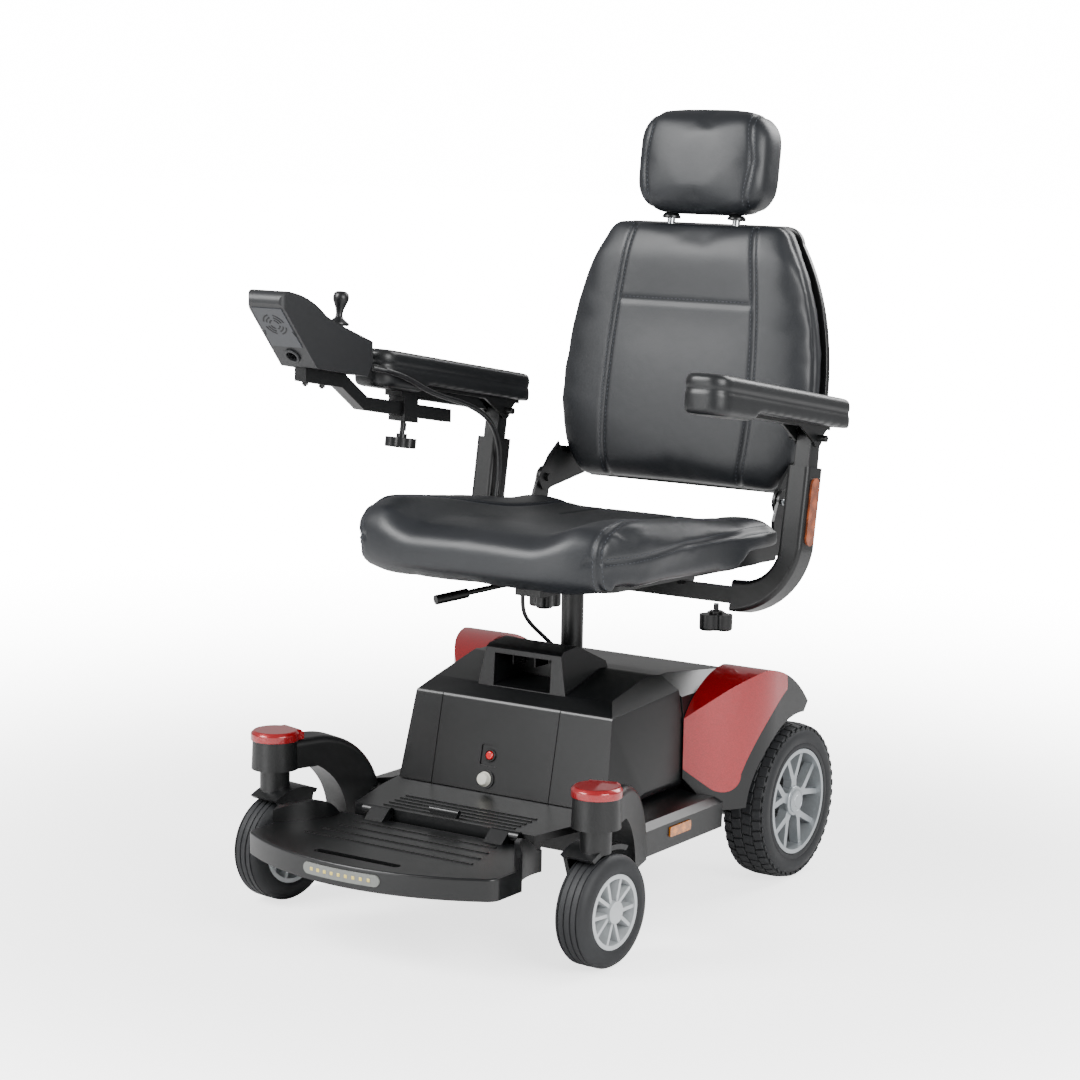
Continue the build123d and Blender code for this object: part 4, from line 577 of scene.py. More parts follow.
def eased_copy(cad_node, width, crease=28):
    """Copy a CAD node's shape with its corner edges eased, as moulding or pressing leaves them."""
    shape = bmesh.new()
    shape.from_mesh(frame["nodes"][cad_node].data)
    bmesh.ops.remove_doubles(shape, verts=shape.verts, dist=2e-6)
    bmesh.ops.dissolve_limit(
        shape, angle_limit=math.radians(0.5), verts=shape.verts, edges=shape.edges
    )
    corners = [
        edge
        for edge in shape.edges
        if len(edge.link_faces) == 2 and edge.calc_face_angle(0.0) > math.radians(crease)
    ]
    bmesh.ops.bevel(
        shape,
        geom=corners,
        offset=width * MM,
        segments=2,
        profile=0.6,
        affect="EDGES",
        clamp_overlap=True,
        harden_normals=False,
    )
    bmesh.ops.triangulate(shape, faces=[f for f in shape.faces if len(f.verts) > 4])
    mesh = bpy.data.meshes.new("piece")
    shape.to_mesh(mesh)
    shape.free()
    shade(mesh, 40)
    # Weighted by area, the light turns only on the eased corners and the flats stay flat.
    holder = bpy.data.objects.new("eased", mesh)
    bpy.context.scene.collection.objects.link(holder)
    flats = holder.modifiers.new("Flats", "WEIGHTED_NORMAL")
    flats.keep_sharp = True
    flats.weight = 100
    depsgraph = bpy.context.evaluated_depsgraph_get()
    made = bpy.data.meshes.new_from_object(holder.evaluated_get(depsgraph))
    bpy.data.objects.remove(holder)
    return made


# ---------------------------------------------------------------- repeats
def new_tree(name, sockets):
    """A Geometry Nodes tree with named inputs, and its group input and output."""
    tree = bpy.data.node_groups.new(name, "GeometryNodeTree")
    for label, kind in sockets:
        tree.interface.new_socket(name=label, in_out="INPUT", socket_type=kind)
    tree.interface.new_socket(name="Geometry", in_out="OUTPUT", socket_type="NodeSocketGeometry")
    return tree, tree.nodes.new("NodeGroupInput"), tree.nodes.new("NodeGroupOutput")


def close_tree(tree, instances, material_socket, group_out):
    """Turn copies into real faces with a material."""
    real = node(tree, "GeometryNodeRealizeInstances", {"Geometry": instances})
    painted = node(
        tree,
        "GeometryNodeSetMaterial",
        {"Geometry": real.outputs["Geometry"], "Material": material_socket},
    )
    tree.links.new(painted.outputs["Geometry"], group_out.inputs["Geometry"])


def round_row_tree():
    """Copies of a template spaced evenly round the Z axis, each turned to face outwards."""
    tree, given, result = new_tree(
        "Round row",
        [
            ("Template", "NodeSocketObject"),
            ("Count", "NodeSocketInt"),
            ("Radius", "NodeSocketFloat"),
            ("Start", "NodeSocketFloat"),
            ("Material", "NodeSocketMaterial"),
        ],
    )
    ring = node(tree, "GeometryNodeMeshLine", {"Count": given.outputs["Count"], "Offset": (0, 0, 0)})
    step = node(tree, "ShaderNodeMath", {0: 2 * math.pi, 1: given.outputs["Count"]}, operation="DIVIDE")
    index = node(tree, "GeometryNodeInputIndex")
    angle = node(
        tree,
        "ShaderNodeMath",
        {0: index.outputs["Index"], 1: step.outputs[0], 2: given.outputs["Start"]},
        operation="MULTIPLY_ADD",
    )
    spoke = node(tree, "ShaderNodeCombineXYZ", {"Z": angle.outputs[0]})
    arm = node(tree, "ShaderNodeCombineXYZ", {"X": given.outputs["Radius"]})
    place = node(
        tree,
        "ShaderNodeVectorRotate",
        {"Vector": arm.outputs[0], "Angle": angle.outputs[0]},
        rotation_type="Z_AXIS",
    )
    spread = node(
        tree,
        "GeometryNodeSetPosition",
        {"Geometry": ring.outputs["Mesh"], "Position": place.outputs[0]},
    )
    template = node(tree, "GeometryNodeObjectInfo", {"Object": given.outputs["Template"]})
    copies = node(
        tree,
        "GeometryNodeInstanceOnPoints",
        {
            "Points": spread.outputs["Geometry"],
            "Instance": template.outputs["Geometry"],
            "Rotation": spoke.outputs[0],
        },
    )
    close_tree(tree, copies.outputs["Instances"], given.outputs["Material"], result)
    return tree


def straight_row_tree():
    """Copies of a template in a straight row, centred on the origin."""
    tree, given, result = new_tree(
        "Straight row",
        [
            ("Template", "NodeSocketObject"),
            ("Count", "NodeSocketInt"),
            ("Spacing", "NodeSocketVector"),
            ("Material", "NodeSocketMaterial"),
        ],
    )
    last = node(tree, "ShaderNodeMath", {0: given.outputs["Count"], 1: 1.0}, operation="SUBTRACT")
    back = node(tree, "ShaderNodeMath", {0: last.outputs[0], 1: -0.5}, operation="MULTIPLY")
    first = node(
        tree,
        "ShaderNodeVectorMath",
        {0: given.outputs["Spacing"], "Scale": back.outputs[0]},
        operation="SCALE",
    )
    row = node(
        tree,
        "GeometryNodeMeshLine",
        {
            "Count": given.outputs["Count"],
            "Start Location": first.outputs[0],
            "Offset": given.outputs["Spacing"],
        },
    )
    template = node(tree, "GeometryNodeObjectInfo", {"Object": given.outputs["Template"]})
    copies = node(
        tree,
        "GeometryNodeInstanceOnPoints",
        {"Points": row.outputs["Mesh"], "Instance": template.outputs["Geometry"]},
    )
    close_tree(tree, copies.outputs["Instances"], given.outputs["Material"], result)
    return tree


def stitch_tree():
    """Stitches along a seam's line."""
    tree, given, result = new_tree(
        "Seam stitches",
        [
            ("Seam", "NodeSocketGeometry"),
            ("Pitch", "NodeSocketFloat"),
            ("Length", "NodeSocketFloat"),
            ("Width", "NodeSocketFloat"),
            ("Material", "NodeSocketMaterial"),
        ],
    )
    path = node(tree, "GeometryNodeMeshToCurve", {"Mesh": given.outputs["Seam"]})
    dots = node(
        tree,
        "GeometryNodeResampleCurve",
        {"Curve": path.outputs["Curve"], "Length": given.outputs["Pitch"]},
        mode="LENGTH",
    )
    along = node(tree, "GeometryNodeInputTangent")
    turn = node(
        tree, "FunctionNodeAlignRotationToVector", {"Vector": along.outputs["Tangent"]}, axis="X"
    )
    bead = node(tree, "GeometryNodeMeshIcoSphere", {"Radius": 0.5, "Subdivisions": 2})
    size = node(
        tree,
        "ShaderNodeCombineXYZ",
        {"X": given.outputs["Length"], "Y": given.outputs["Width"], "Z": given.outputs["Width"]},
    )
    copies = node(
        tree,
        "GeometryNodeInstanceOnPoints",
        {
            "Points": dots.outputs["Curve"],
            "Instance": bead.outputs["Mesh"],
            "Rotation": turn.outputs["Rotation"],
            "Scale": size.outputs[0],
        },
    )
    close_tree(tree, copies.outputs["Instances"], given.outputs["Material"], result)
    return tree


TREES = {}


def run_tree(tree_name, base_mesh, inputs, matrix=None):
    """Run a repeat on a base mesh and return the result as a plain mesh."""
    makers = {"round": round_row_tree, "straight": straight_row_tree, "stitch": stitch_tree}
    if tree_name not in TREES:
        TREES[tree_name] = makers[tree_name]()
    tree = TREES[tree_name]
    holder = bpy.data.objects.new("repeat", base_mesh)
    bpy.context.scene.collection.objects.link(holder)
    modifier = holder.modifiers.new("Repeat", "NODES")
    modifier.node_group = tree
    for item in tree.interface.items_tree:
        if item.in_out == "INPUT" and item.name in inputs:
            modifier[item.identifier] = inputs[item.name]
    depsgraph = bpy.context.evaluated_depsgraph_get()
    made = bpy.data.meshes.new_from_object(holder.evaluated_get(depsgraph))
    bpy.data.objects.remove(holder)
    if matrix is not None:
        made.transform(matrix)
    return made


def repeat(tree_name, template_mesh, inputs, finish, matrix=None):
    """Repeat a template mesh by one of the rows."""
    template = bpy.data.objects.new("template", template_mesh)
    bpy.context.scene.collection.objects.link(template)
    empty = bpy.data.meshes.new("row")
    made = run_tree(
        tree_name, empty, {**inputs, "Template": template, "Material": MATERIALS[finish]}, matrix
    )
    bpy.data.objects.remove(template)
    return made


# ---------------------------------------------------------------- upholstery
def soft_start(cad_node, voxel, shape, rounding, shrink):
    """Copy a CAD cushion, remesh it, shape it by a rule and round its edges."""
    source = frame["nodes"][cad_node].data.copy()
    holder = bpy.data.objects.new(cad_node + "_start", source)
    bpy.context.scene.collection.objects.link(holder)
    remesh = holder.modifiers.new("Remesh", "REMESH")
    remesh.mode = "VOXEL"
    remesh.voxel_size = voxel * MM
    smooth = holder.modifiers.new("Round", "SMOOTH")
    smooth.factor = 0.5
    smooth.iterations = rounding
    depsgraph = bpy.context.evaluated_depsgraph_get()
    mesh = bpy.data.meshes.new_from_object(holder.evaluated_get(depsgraph))
    bpy.data.objects.remove(holder)
    normals = np.empty(len(mesh.vertices) * 3)
    mesh.vertices.foreach_get("normal", normals)
    places = np.empty(len(mesh.vertices) * 3)
    mesh.vertices.foreach_get("co", places)
    places = places.reshape(-1, 3) - normals.reshape(-1, 3) * shrink * MM
    places = shape(places)
    mesh.vertices.foreach_set("co", places.ravel())
    mesh.update()
    return mesh


def swell(mesh, pressure, cap):
    """Puff a closed cover as air pressure does, each point by no more than cap."""
    holder = bpy.data.objects.new("cover", mesh)
    bpy.context.scene.collection.objects.link(holder)
    start = np.empty(len(mesh.vertices) * 3)
    mesh.vertices.foreach_get("co", start)
    cloth = holder.modifiers.new("Cloth", "CLOTH")
    cloth.settings.quality = 4
    cloth.settings.tension_stiffness = 30
    cloth.settings.compression_stiffness = 30
    cloth.settings.bending_stiffness = 2
    cloth.settings.use_pressure = True
    cloth.settings.uniform_pressure_force = pressure
    cloth.settings.effector_weights.gravity = 0
    cloth.collision_settings.use_collision = False
    scene = bpy.context.scene
    for step in range(1, 19):
        scene.frame_set(step)
    depsgraph = bpy.context.evaluated_depsgraph_get()
    puffed = holder.evaluated_get(depsgraph).to_mesh()
    end = np.empty(len(mesh.vertices) * 3)
    puffed.vertices.foreach_get("co", end)
    holder.evaluated_get(depsgraph).to_mesh_clear()
    holder.modifiers.clear()
    bpy.data.objects.remove(holder)
    scene.frame_set(1)
    move = (end - start).reshape(-1, 3)
    length = np.linalg.norm(move, axis=1, keepdims=True)
    move *= np.minimum(1.0, cap / np.maximum(length, 1e-9))
    mesh.vertices.foreach_set("co", (start.reshape(-1, 3) + move).ravel())
    mesh.update()


def subdivided(mesh, smoothing=8):
    """One level finer, with the faces' unevenness smoothed away."""
    holder = bpy.data.objects.new("finer", mesh)
    bpy.context.scene.collection.objects.link(holder)
    relax = holder.modifiers.new("Relax", "SMOOTH")
    relax.factor = 0.5
    relax.iterations = smoothing
    finer = holder.modifiers.new("Finer", "SUBSURF")
    finer.levels = finer.render_levels = 1
    depsgraph = bpy.context.evaluated_depsgraph_get()
    made = bpy.data.meshes.new_from_object(holder.evaluated_get(depsgraph))
    bpy.data.objects.remove(holder)
    return made


def press_seams(mesh, seams):
    """Sink seams into a cover; each seam gives every vertex's distance from its line."""
    upholstery = bpy.context.scene.chair_upholstery
    places = np.empty(len(mesh.vertices) * 3)
    mesh.vertices.foreach_get("co", places)
    normals = np.empty(len(mesh.vertices) * 3)
    mesh.vertices.foreach_get("normal", normals)
    places, normals = places.reshape(-1, 3), normals.reshape(-1, 3)
    sink = np.zeros(len(places))
    for seam, strength in seams:
        distance = seam(places, normals)
        valley = np.exp(-((distance / upholstery.seam_width) ** 2)) * upholstery.seam_depth
        sink = np.maximum(sink, valley * strength)
    places = places - normals * sink[:, None]
    mesh.vertices.foreach_set("co", places.ravel())
    mesh.update()


def laid_on(mesh, starts, direction):
    """Where lines cast from these points meet a cover, a hair above its surface."""
    tree = BVHTree.FromPolygons(
        [v.co for v in mesh.vertices], [p.vertices[:] for p in mesh.polygons]
    )
    found = []
    for start in starts:
        hit, normal, _, _ = tree.ray_cast(start, direction)
        if hit is not None:
            found.append(hit + normal * 0.0002)
    return found


def stitches(lines):
    """Stitches along several laid lines, as one mesh."""
    upholstery = bpy.context.scene.chair_upholstery
    made = []
    for line in lines:
        if len(line) < 2:
            continue
        path = bpy.data.meshes.new("seam")
        path.from_pydata(line, [(i, i + 1) for i in range(len(line) - 1)], [])
        made.append(
            run_tree(
                "stitch",
                path,
                {
                    "Pitch": upholstery.stitch_pitch,
                    "Length": upholstery.stitch_pitch * 0.62,
                    "Width": 0.0011,
                    "Material": MATERIALS["thread"],
                },
            )
        )
    return joined(made)


def seat_frame_of(places):
    """Each point's place on the seat, in mm: across, along and up."""
    origin = np.array(at(*SEAT_ORIGIN))
    rel = (places - origin) / MM
    return rel[:, 0], rel @ np.array(SEAT_ALONG), rel @ np.array(SEAT_UP)


def back_frame_of(places):
    """Each point's place on the backrest, in mm: across, up and out."""
    origin = np.array(at(*BACK_ORIGIN))
    rel = (places - origin) / MM
    return rel[:, 0], rel @ np.array(BACK_UP), rel @ np.array(BACK_OUT)


def smooth_step(value, low, high):
    """0 below low, 1 above high, and a smooth rise between."""
    t = np.clip((value - low) / (high - low), 0, 1)
    return t * t * (3 - 2 * t)


def seat_seam_x(along):
    """The seam along the inner foot of the seat's side bolsters, out from the middle."""
    return 196 - 62 * smooth_step(along, -215, 60)


def seat_side_seam_up(along):
    """The height of the seam along each side of the seat."""
    return 44 + 10 * smooth_step(along, -240, -60)


def seat_dish(places):
    """Bucket seat: side bolsters, a dished middle, a low front edge and rounded corners."""
    across, along, up = seat_frame_of(places)
    side = smooth_step(np.abs(across), 96, 176)
    bolster = 1 - 0.35 * smooth_step(-along, 170, 262) - 0.62 * smooth_step(along, -60, 150)
    dish = 24 * (1 - side * bolster)
    front_dip = 3 * smooth_step(-along, 200, 268) * (1 - side)
    edge = 5 * smooth_step(np.abs(across), 206, 228)
    lift = 10 * smooth_step(-along, 20, 200)
    drop = (dish + front_dip + edge - lift) * np.clip(up / SEAT_TOP, 0, 1)
    corner = smooth_step(-along, 130, 274)
    far = np.abs(across) / SEAT_HALF
    in_x = -across * 0.10 * corner**2 * far**2
    in_y = 26 * corner * far**4
    belly = 9 * smooth_step(-along, 235, 274) * (1 - ((up - 40) / 44) ** 2)
    under = 6 * smooth_step(-along, 210, 274) * np.clip(1 - up / 30, 0, 1)
    moved = places.copy()
    moved[:, 0] += in_x * MM
    moved += np.outer((in_y + under - belly * 0.4) * MM, np.array(SEAT_ALONG))
    moved -= np.outer(drop * MM, np.array(SEAT_UP))
    return moved


def back_seam_x(up):
    """The bowed seams down the front of the backrest, out from the middle."""
    high = 127 - 25 * np.clip((up - 110) / 288, 0, 1) ** 2
    return high - 14 * np.clip((110 - up) / 122, 0, 1) ** 2


def headrest_seam_x(up):
    """The seams beside the headrest's middle, out from the middle."""
    return 84 + 8 * np.exp(-(((up - HEAD_LOW - HEAD_TALL / 2) / 45) ** 2))


def back_crown(places):
    """Captain's backrest: the front swells in the middle and falls away to its sides."""
    across, up, out = back_frame_of(places)
    front = np.clip((out + BACK_DEPTH) / BACK_DEPTH, 0, 1)
    fall = 17 * (np.abs(across) / 226) ** 3.0 + 7 * smooth_step(up, 330, 398)
    tuck = 8 * smooth_step(-up, -34, 12)
    hollow = 4 * np.exp(-(((up - 250) / 70) ** 2)) * (1 - smooth_step(np.abs(across), 60, 160))
    moved = places.copy()
    moved -= np.outer(front * (fall + tuck + hollow) * MM, np.array(BACK_OUT))
    return moved


def headrest_crown(places):
    """Headrest: a plump front that falls away towards its ends."""
    across, up, out = back_frame_of(places)
    front = np.clip((out + 72) / 78, 0, 1)
    fall = 9 * (np.abs(across) / 115) ** 2.6 + 5 * (np.abs(up - HEAD_LOW - HEAD_TALL / 2) / 78) ** 3
    moved = places.copy()
    moved -= np.outer(front * fall * MM, np.array(BACK_OUT))
    return moved


def far_where(distance, keep):
    """Distances in metres, with the points that a seam doesn't cross set far away."""
    return np.where(keep, np.abs(distance) * MM, 1.0)


# ---------------------------------------------------------------- operators
class CHAIR_OT_stage(bpy.types.Operator):
    """Set the floor, the studio lights and the camera"""

    bl_idname = "chair.stage"
    bl_label = "Stage"

    def execute(self, context):
        scene = context.scene
        world = bpy.data.worlds.new("studio")
        scene.world = world
        world.use_nodes = True
        # The studio is a white box: a soft light all round, and brighter where it is seen.
        sky = world.node_tree
        soft = sky.nodes["Background"]
        soft.inputs["Color"].default_value = linear("#fdfdfd")
        soft.inputs["Strength"].default_value = 0.42
        seen = node(sky, "ShaderNodeBackground", {"Color": linear("#ffffff"), "Strength": 16.0})
        eye = node(sky, "ShaderNodeLightPath", {}).outputs["Is Camera Ray"]
        walls = node(sky, "ShaderNodeMixShader", {0: eye, 1: soft.outputs[0], 2: seen.outputs[0]})
        sky.links.new(walls.outputs[0], sky.nodes["World Output"].inputs["Surface"])
        floor_mesh = bpy.data.meshes.new("floor")
        reach = 30.0
        floor_mesh.from_pydata(
            [(-reach, -reach, 0), (reach, -reach, 0), (reach, reach, 0), (-reach, reach, 0)],
            [],
            [(0, 1, 2, 3)],
        )
        paper, tree, shader, place = start_material("white paper sweep", "#f7f7f7", 0.75)
        vary(tree, shader, place, 900, "#f7f7f7", "#fafafa", 0.7, 0.8)
        # Painted light: for camera rays alone the floor glows, weakly near the chair and strongly farther
        # off, so it looks whiter than its lamps make it.
        shader.inputs["Emission Color"].default_value = linear("#ffffff")
        eye = node(tree, "ShaderNodeLightPath", {}).outputs["Is Camera Ray"]
        away = node(tree, "ShaderNodeVectorMath", {0: place}, operation="LENGTH").outputs["Value"]
        white = node(
            tree,
            "ShaderNodeMapRange",
            {"Value": away, "From Min": 0.6, "From Max": 3.2, "To Min": 2.2, "To Max": 16.0},
            interpolation_type="SMOOTHSTEP",
        ).outputs["Result"]
        glow = node(tree, "ShaderNodeMath", {0: eye, 1: white}, operation="MULTIPLY").outputs[0]
        tree.links.new(glow, shader.inputs["Emission Strength"])
        floor_mesh.materials.append(paper)
        floor = bpy.data.objects.new("floor", floor_mesh)
        scene.collection.objects.link(floor)
        aim = at(0, 0, 520)
        lamps = (
            ("key", (-1500, -2100, 2300), 1.5, 130),
            ("fill", (2300, -900, 1500), 1.3, 70),
            ("rim", (700, 2200, 2100), 1.6, 70),
            ("low", (-700, -2600, 500), 1.0, 16),
        )
        for name, place_mm, size, power in lamps:
            lamp = bpy.data.lights.new(name, "AREA")
            lamp.shape = "SQUARE"
            lamp.size = size
            lamp.energy = power
            holder = bpy.data.objects.new(name, lamp)
            scene.collection.objects.link(holder)
            holder.location = at(*place_mm)
            holder.rotation_mode = "QUATERNION"
            holder.rotation_quaternion = (aim - holder.location).to_track_quat("-Z", "Y")
        lens = bpy.data.cameras.new("camera")
        lens.sensor_width = 36
        lens.lens = 91.83
        lens.shift_y = -0.0018
        lens.clip_end = 100
        camera = bpy.data.objects.new("camera", lens)
        scene.collection.objects.link(camera)
        right = Vector((0.83277, 0.55335, 0.01726))
        up = Vector((-0.09831, 0.11713, 0.98824))
        camera.matrix_world = axes_matrix(
            at(2120.2, -3238.7, 1103.6), right, up, right.cross(up)
        )
        scene.camera = camera
        return {"FINISHED"}


JOYSTICK_ROUTE = (
    (-250, -91.5, 742),
    (-236, -74, 737),
    (-235, -26, 722),
    (-235, 14, 704),
    (-236, 58, 690),
    (-236, 104, 679),
    (-236, 150, 664),
    (-237, 190, 642),
    (-240, 216, 606),
    (-243, 222, 562),
    (-243, 214, 520),
    (-242, 209, 480),
    (-220.3, 209, 480),
)
POST_ROUTE = (
    (-34, -20, 425.5),
    (-34, -21, 406),
    (-29, -12, 386),
    (-21, 16, 362),
    (-13, 40, 340),
    (-12, 43, 320),
    (-12, 43, 296.3),
)


def cable_piece(name, route, radius, body, node_name):
    """A cable on one smooth line through its route's control points."""
    curve = bpy.data.curves.new(name, "CURVE")
    curve.dimensions = "3D"
    spline = curve.splines.new("NURBS")
    spline.points.add(len(route) - 1)
    for point, place in zip(spline.points, route):
        point.co = (*at(*place), 1.0)
    spline.order_u = 3
    spline.use_endpoint_u = True
    spline.resolution_u = 12
    curve.bevel_depth = radius * MM
    curve.bevel_resolution = 5
    curve.use_fill_caps = True
    curve.materials.append(MATERIALS["cable_sheath"])
    made = bpy.data.objects.new(name, curve)
    bpy.context.scene.collection.objects.link(made)
    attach(made, body)
    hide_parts(node_name)
    return made


class CHAIR_OT_cables(bpy.types.Operator):
    """Run the controller's cable and the seat cable"""

    bl_idname = "chair.cables"
    bl_label = "Cables"

    def execute(self, context):
        cable_piece("controller_lead", JOYSTICK_ROUTE, 4, "joystick_arm", "joystick_cable")
        cable_piece("seat_lead", POST_ROUTE, 3, "base", "post_cable")
        boot = [(0, 0), (5.4, 0), (5.4, 6), (4.9, 8), (5.2, 10), (4.6, 13), (4.9, 15), (4.2, 20), (0, 20)]
        along = (Vector(JOYSTICK_ROUTE[1]) - Vector(JOYSTICK_ROUTE[0])).normalized()
        side = along.cross(Vector((0, 0, 1))).normalized()
        mesh = turned(
            boot, 24, axes_matrix(at(*JOYSTICK_ROUTE[0]), side, along.cross(side), along)
        )
        finish_piece("lead_boot", mesh, "cable_sheath", "joystick_arm")
        return {"FINISHED"}


class CHAIR_OT_seat(bpy.types.Operator):
    """Make the padded bucket seat with its seams"""

    bl_idname = "chair.seat"
    bl_label = "Seat cushion"

    def execute(self, context):
        sewing = context.scene.chair_upholstery
        mesh = soft_start("seat_cushion", 6, seat_dish, 4, -1)
        swell(mesh, sewing.pressure, sewing.seat_swell)
        mesh = subdivided(mesh)

        def inner(places, normals):
            across, along, up = seat_frame_of(places)
            return far_where(np.abs(across) - seat_seam_x(along), (normals[:, 2] > -0.2) | (along < -200))

        def outer(places, normals):
            across, along, up = seat_frame_of(places)
            on_side = (np.abs(across) > 170) & (np.abs(normals[:, 0]) > 0.3)
            return far_where(up - seat_side_seam_up(along), on_side)

        def rear(places, normals):
            across, along, up = seat_frame_of(places)
            return far_where(np.abs(across) - 62, (normals[:, 2] > 0.5) & (along > 60))

        press_seams(mesh, [(inner, 1.0), (outer, 0.8), (rear, 0.5)])
        finish_piece(
            "seat_cushion_cover", mesh, "upholstery", "seat", ["seat_cushion"],
            CLOTH_SHARP,
        )
        lines = []
        down, rearward = -SEAT_UP, SEAT_ALONG
        for sx in (-1, 1):
            for beside in (-5, 5):
                top = [
                    on_seat(sx * (float(seat_seam_x(np.array(a))) + beside), a, 140)
                    for a in range(-256, 196, 6)
                ]
                lines.append(laid_on(mesh, top, down))
                front = [on_seat(sx * (196 + beside), -340, u) for u in range(8, 60, 5)]
                lines.append(laid_on(mesh, front, rearward))
            for beside in (-4.5, 4.5):
                side = [
                    on_seat(sx * 300, a, float(seat_side_seam_up(np.array(a))) + beside)
                    for a in range(-236, 190, 6)
                ]
                lines.append(laid_on(mesh, side, Vector((-sx, 0, 0))))
        finish_piece("seat_stitching", stitches(lines), "thread", "seat")
        return {"FINISHED"}


class CHAIR_OT_back(bpy.types.Operator):
    """Make the padded captain's backrest with its seams"""

    bl_idname = "chair.back"
    bl_label = "Back cushion"

    def execute(self, context):
        sewing = context.scene.chair_upholstery
        mesh = soft_start("back_cushion", 7, back_crown, 8, 3)
        swell(mesh, sewing.pressure, sewing.back_swell)
        mesh = subdivided(mesh)
        break_line = 268

        def bowed(places, normals):
            across, up, out = back_frame_of(places)
            return far_where(np.abs(across) - back_seam_x(up), out > -30)

        def level(places, normals):
            across, up, out = back_frame_of(places)
            inside = (np.abs(across) < back_seam_x(up)) & (out > -30)
            return far_where(up - break_line, inside)

        def border(places, normals):
            across, up, out = back_frame_of(places)
            return far_where(out + 27, np.abs(normals @ np.array(BACK_OUT)) < 0.86)

        press_seams(mesh, [(bowed, 1.0), (level, 0.6), (border, 0.9)])
        finish_piece(
            "back_cushion_cover", mesh, "upholstery", "backrest", ["back_cushion"],
            CLOTH_SHARP,
        )
        inward = -BACK_OUT
        lines = []
        for sx in (-1, 1):
            for beside in (-5, 5):
                bow = [
                    on_back(sx * (float(back_seam_x(np.array(u))) + beside), u, 60)
                    for u in range(-6, 394, 6)
                ]
                lines.append(laid_on(mesh, bow, inward))
        across = [on_back(x, break_line + 4, 60) for x in range(-104, 106, 6)]
        lines.append(laid_on(mesh, across, inward))
        finish_piece("back_stitching", stitches(lines), "thread", "backrest")
        return {"FINISHED"}


class CHAIR_OT_headrest(bpy.types.Operator):
    """Make the headrest cushion and its collars"""

    bl_idname = "chair.headrest"
    bl_label = "Headrest"

    def execute(self, context):
        mesh = soft_start("headrest_cushion", 5, headrest_crown, 8, 2)
        swell(mesh, context.scene.chair_upholstery.pressure, 0.003)
        mesh = subdivided(mesh)

        def sides(places, normals):
            across, up, out = back_frame_of(places)
            return far_where(np.abs(across) - headrest_seam_x(up), out > -60)

        press_seams(mesh, [(sides, 0.6)])
        finish_piece(
            "headrest_cover", mesh, "upholstery", "headrest", ["headrest_cushion"],
            CLOTH_SHARP,
        )
        lines = []
        for sx in (-1, 1):
            for beside in (-4, 4):
                run = []
                for u in range(HEAD_LOW + 14, HEAD_LOW + HEAD_TALL - 12, 5):
                    run.append(on_back(sx * (float(headrest_seam_x(np.array(u))) + beside), u, 60))
                lines.append(laid_on(mesh, run, -BACK_OUT))
        finish_piece("headrest_stitching", stitches(lines), "thread", "headrest")
        collar = [(6.6, 0), (14, 0), (14, 3), (11, 7), (6.6, 7)]
        meshes = [
            turned(
                collar,
                32,
                axes_matrix(on_back(sx * 57, 397, -36), Vector((1, 0, 0)), -BACK_OUT, BACK_UP),
            )
            for sx in (-1, 1)
        ]
        finish_piece(
            "headrest_collars", joined(meshes), "satin_black_plastic", "backrest"
        )
        return {"FINISHED"}


class CHAIR_OT_arm_pads(bpy.types.Operator):
    """Make the moulded arm pads with their parting seam"""

    bl_idname = "chair.arm_pads"
    bl_label = "Arm pads"

    def execute(self, context):
        def unchanged(places):
            return places

        for side in ("left", "right"):
            node_name = f"arm_pad_{side}"
            mesh = soft_start(node_name, 4, unchanged, 5, 0)
            mesh = subdivided(mesh, 1)

            def parting(places, normals):
                rel = (places - np.array(at(*ARM_BOLT))) / MM
                up = rel @ np.array(ARM_UP)
                return far_where(up - 40, np.abs(normals @ np.array(ARM_UP)) < 0.8)

            press_seams(mesh, [(parting, 0.55)])
            finish_piece(
                f"arm_pad_skin_{side}", mesh, "pad_skin", f"armrest_{side}", [node_name],
                CLOTH_SHARP,
            )
        return {"FINISHED"}


def wheel_matrix(centre, axle):
    """Turn a piece made round Z onto a wheel's axle."""
    up = Vector((0, 0, 1))
    return axes_matrix(at(*centre), axle.cross(up), up * -1, axle)


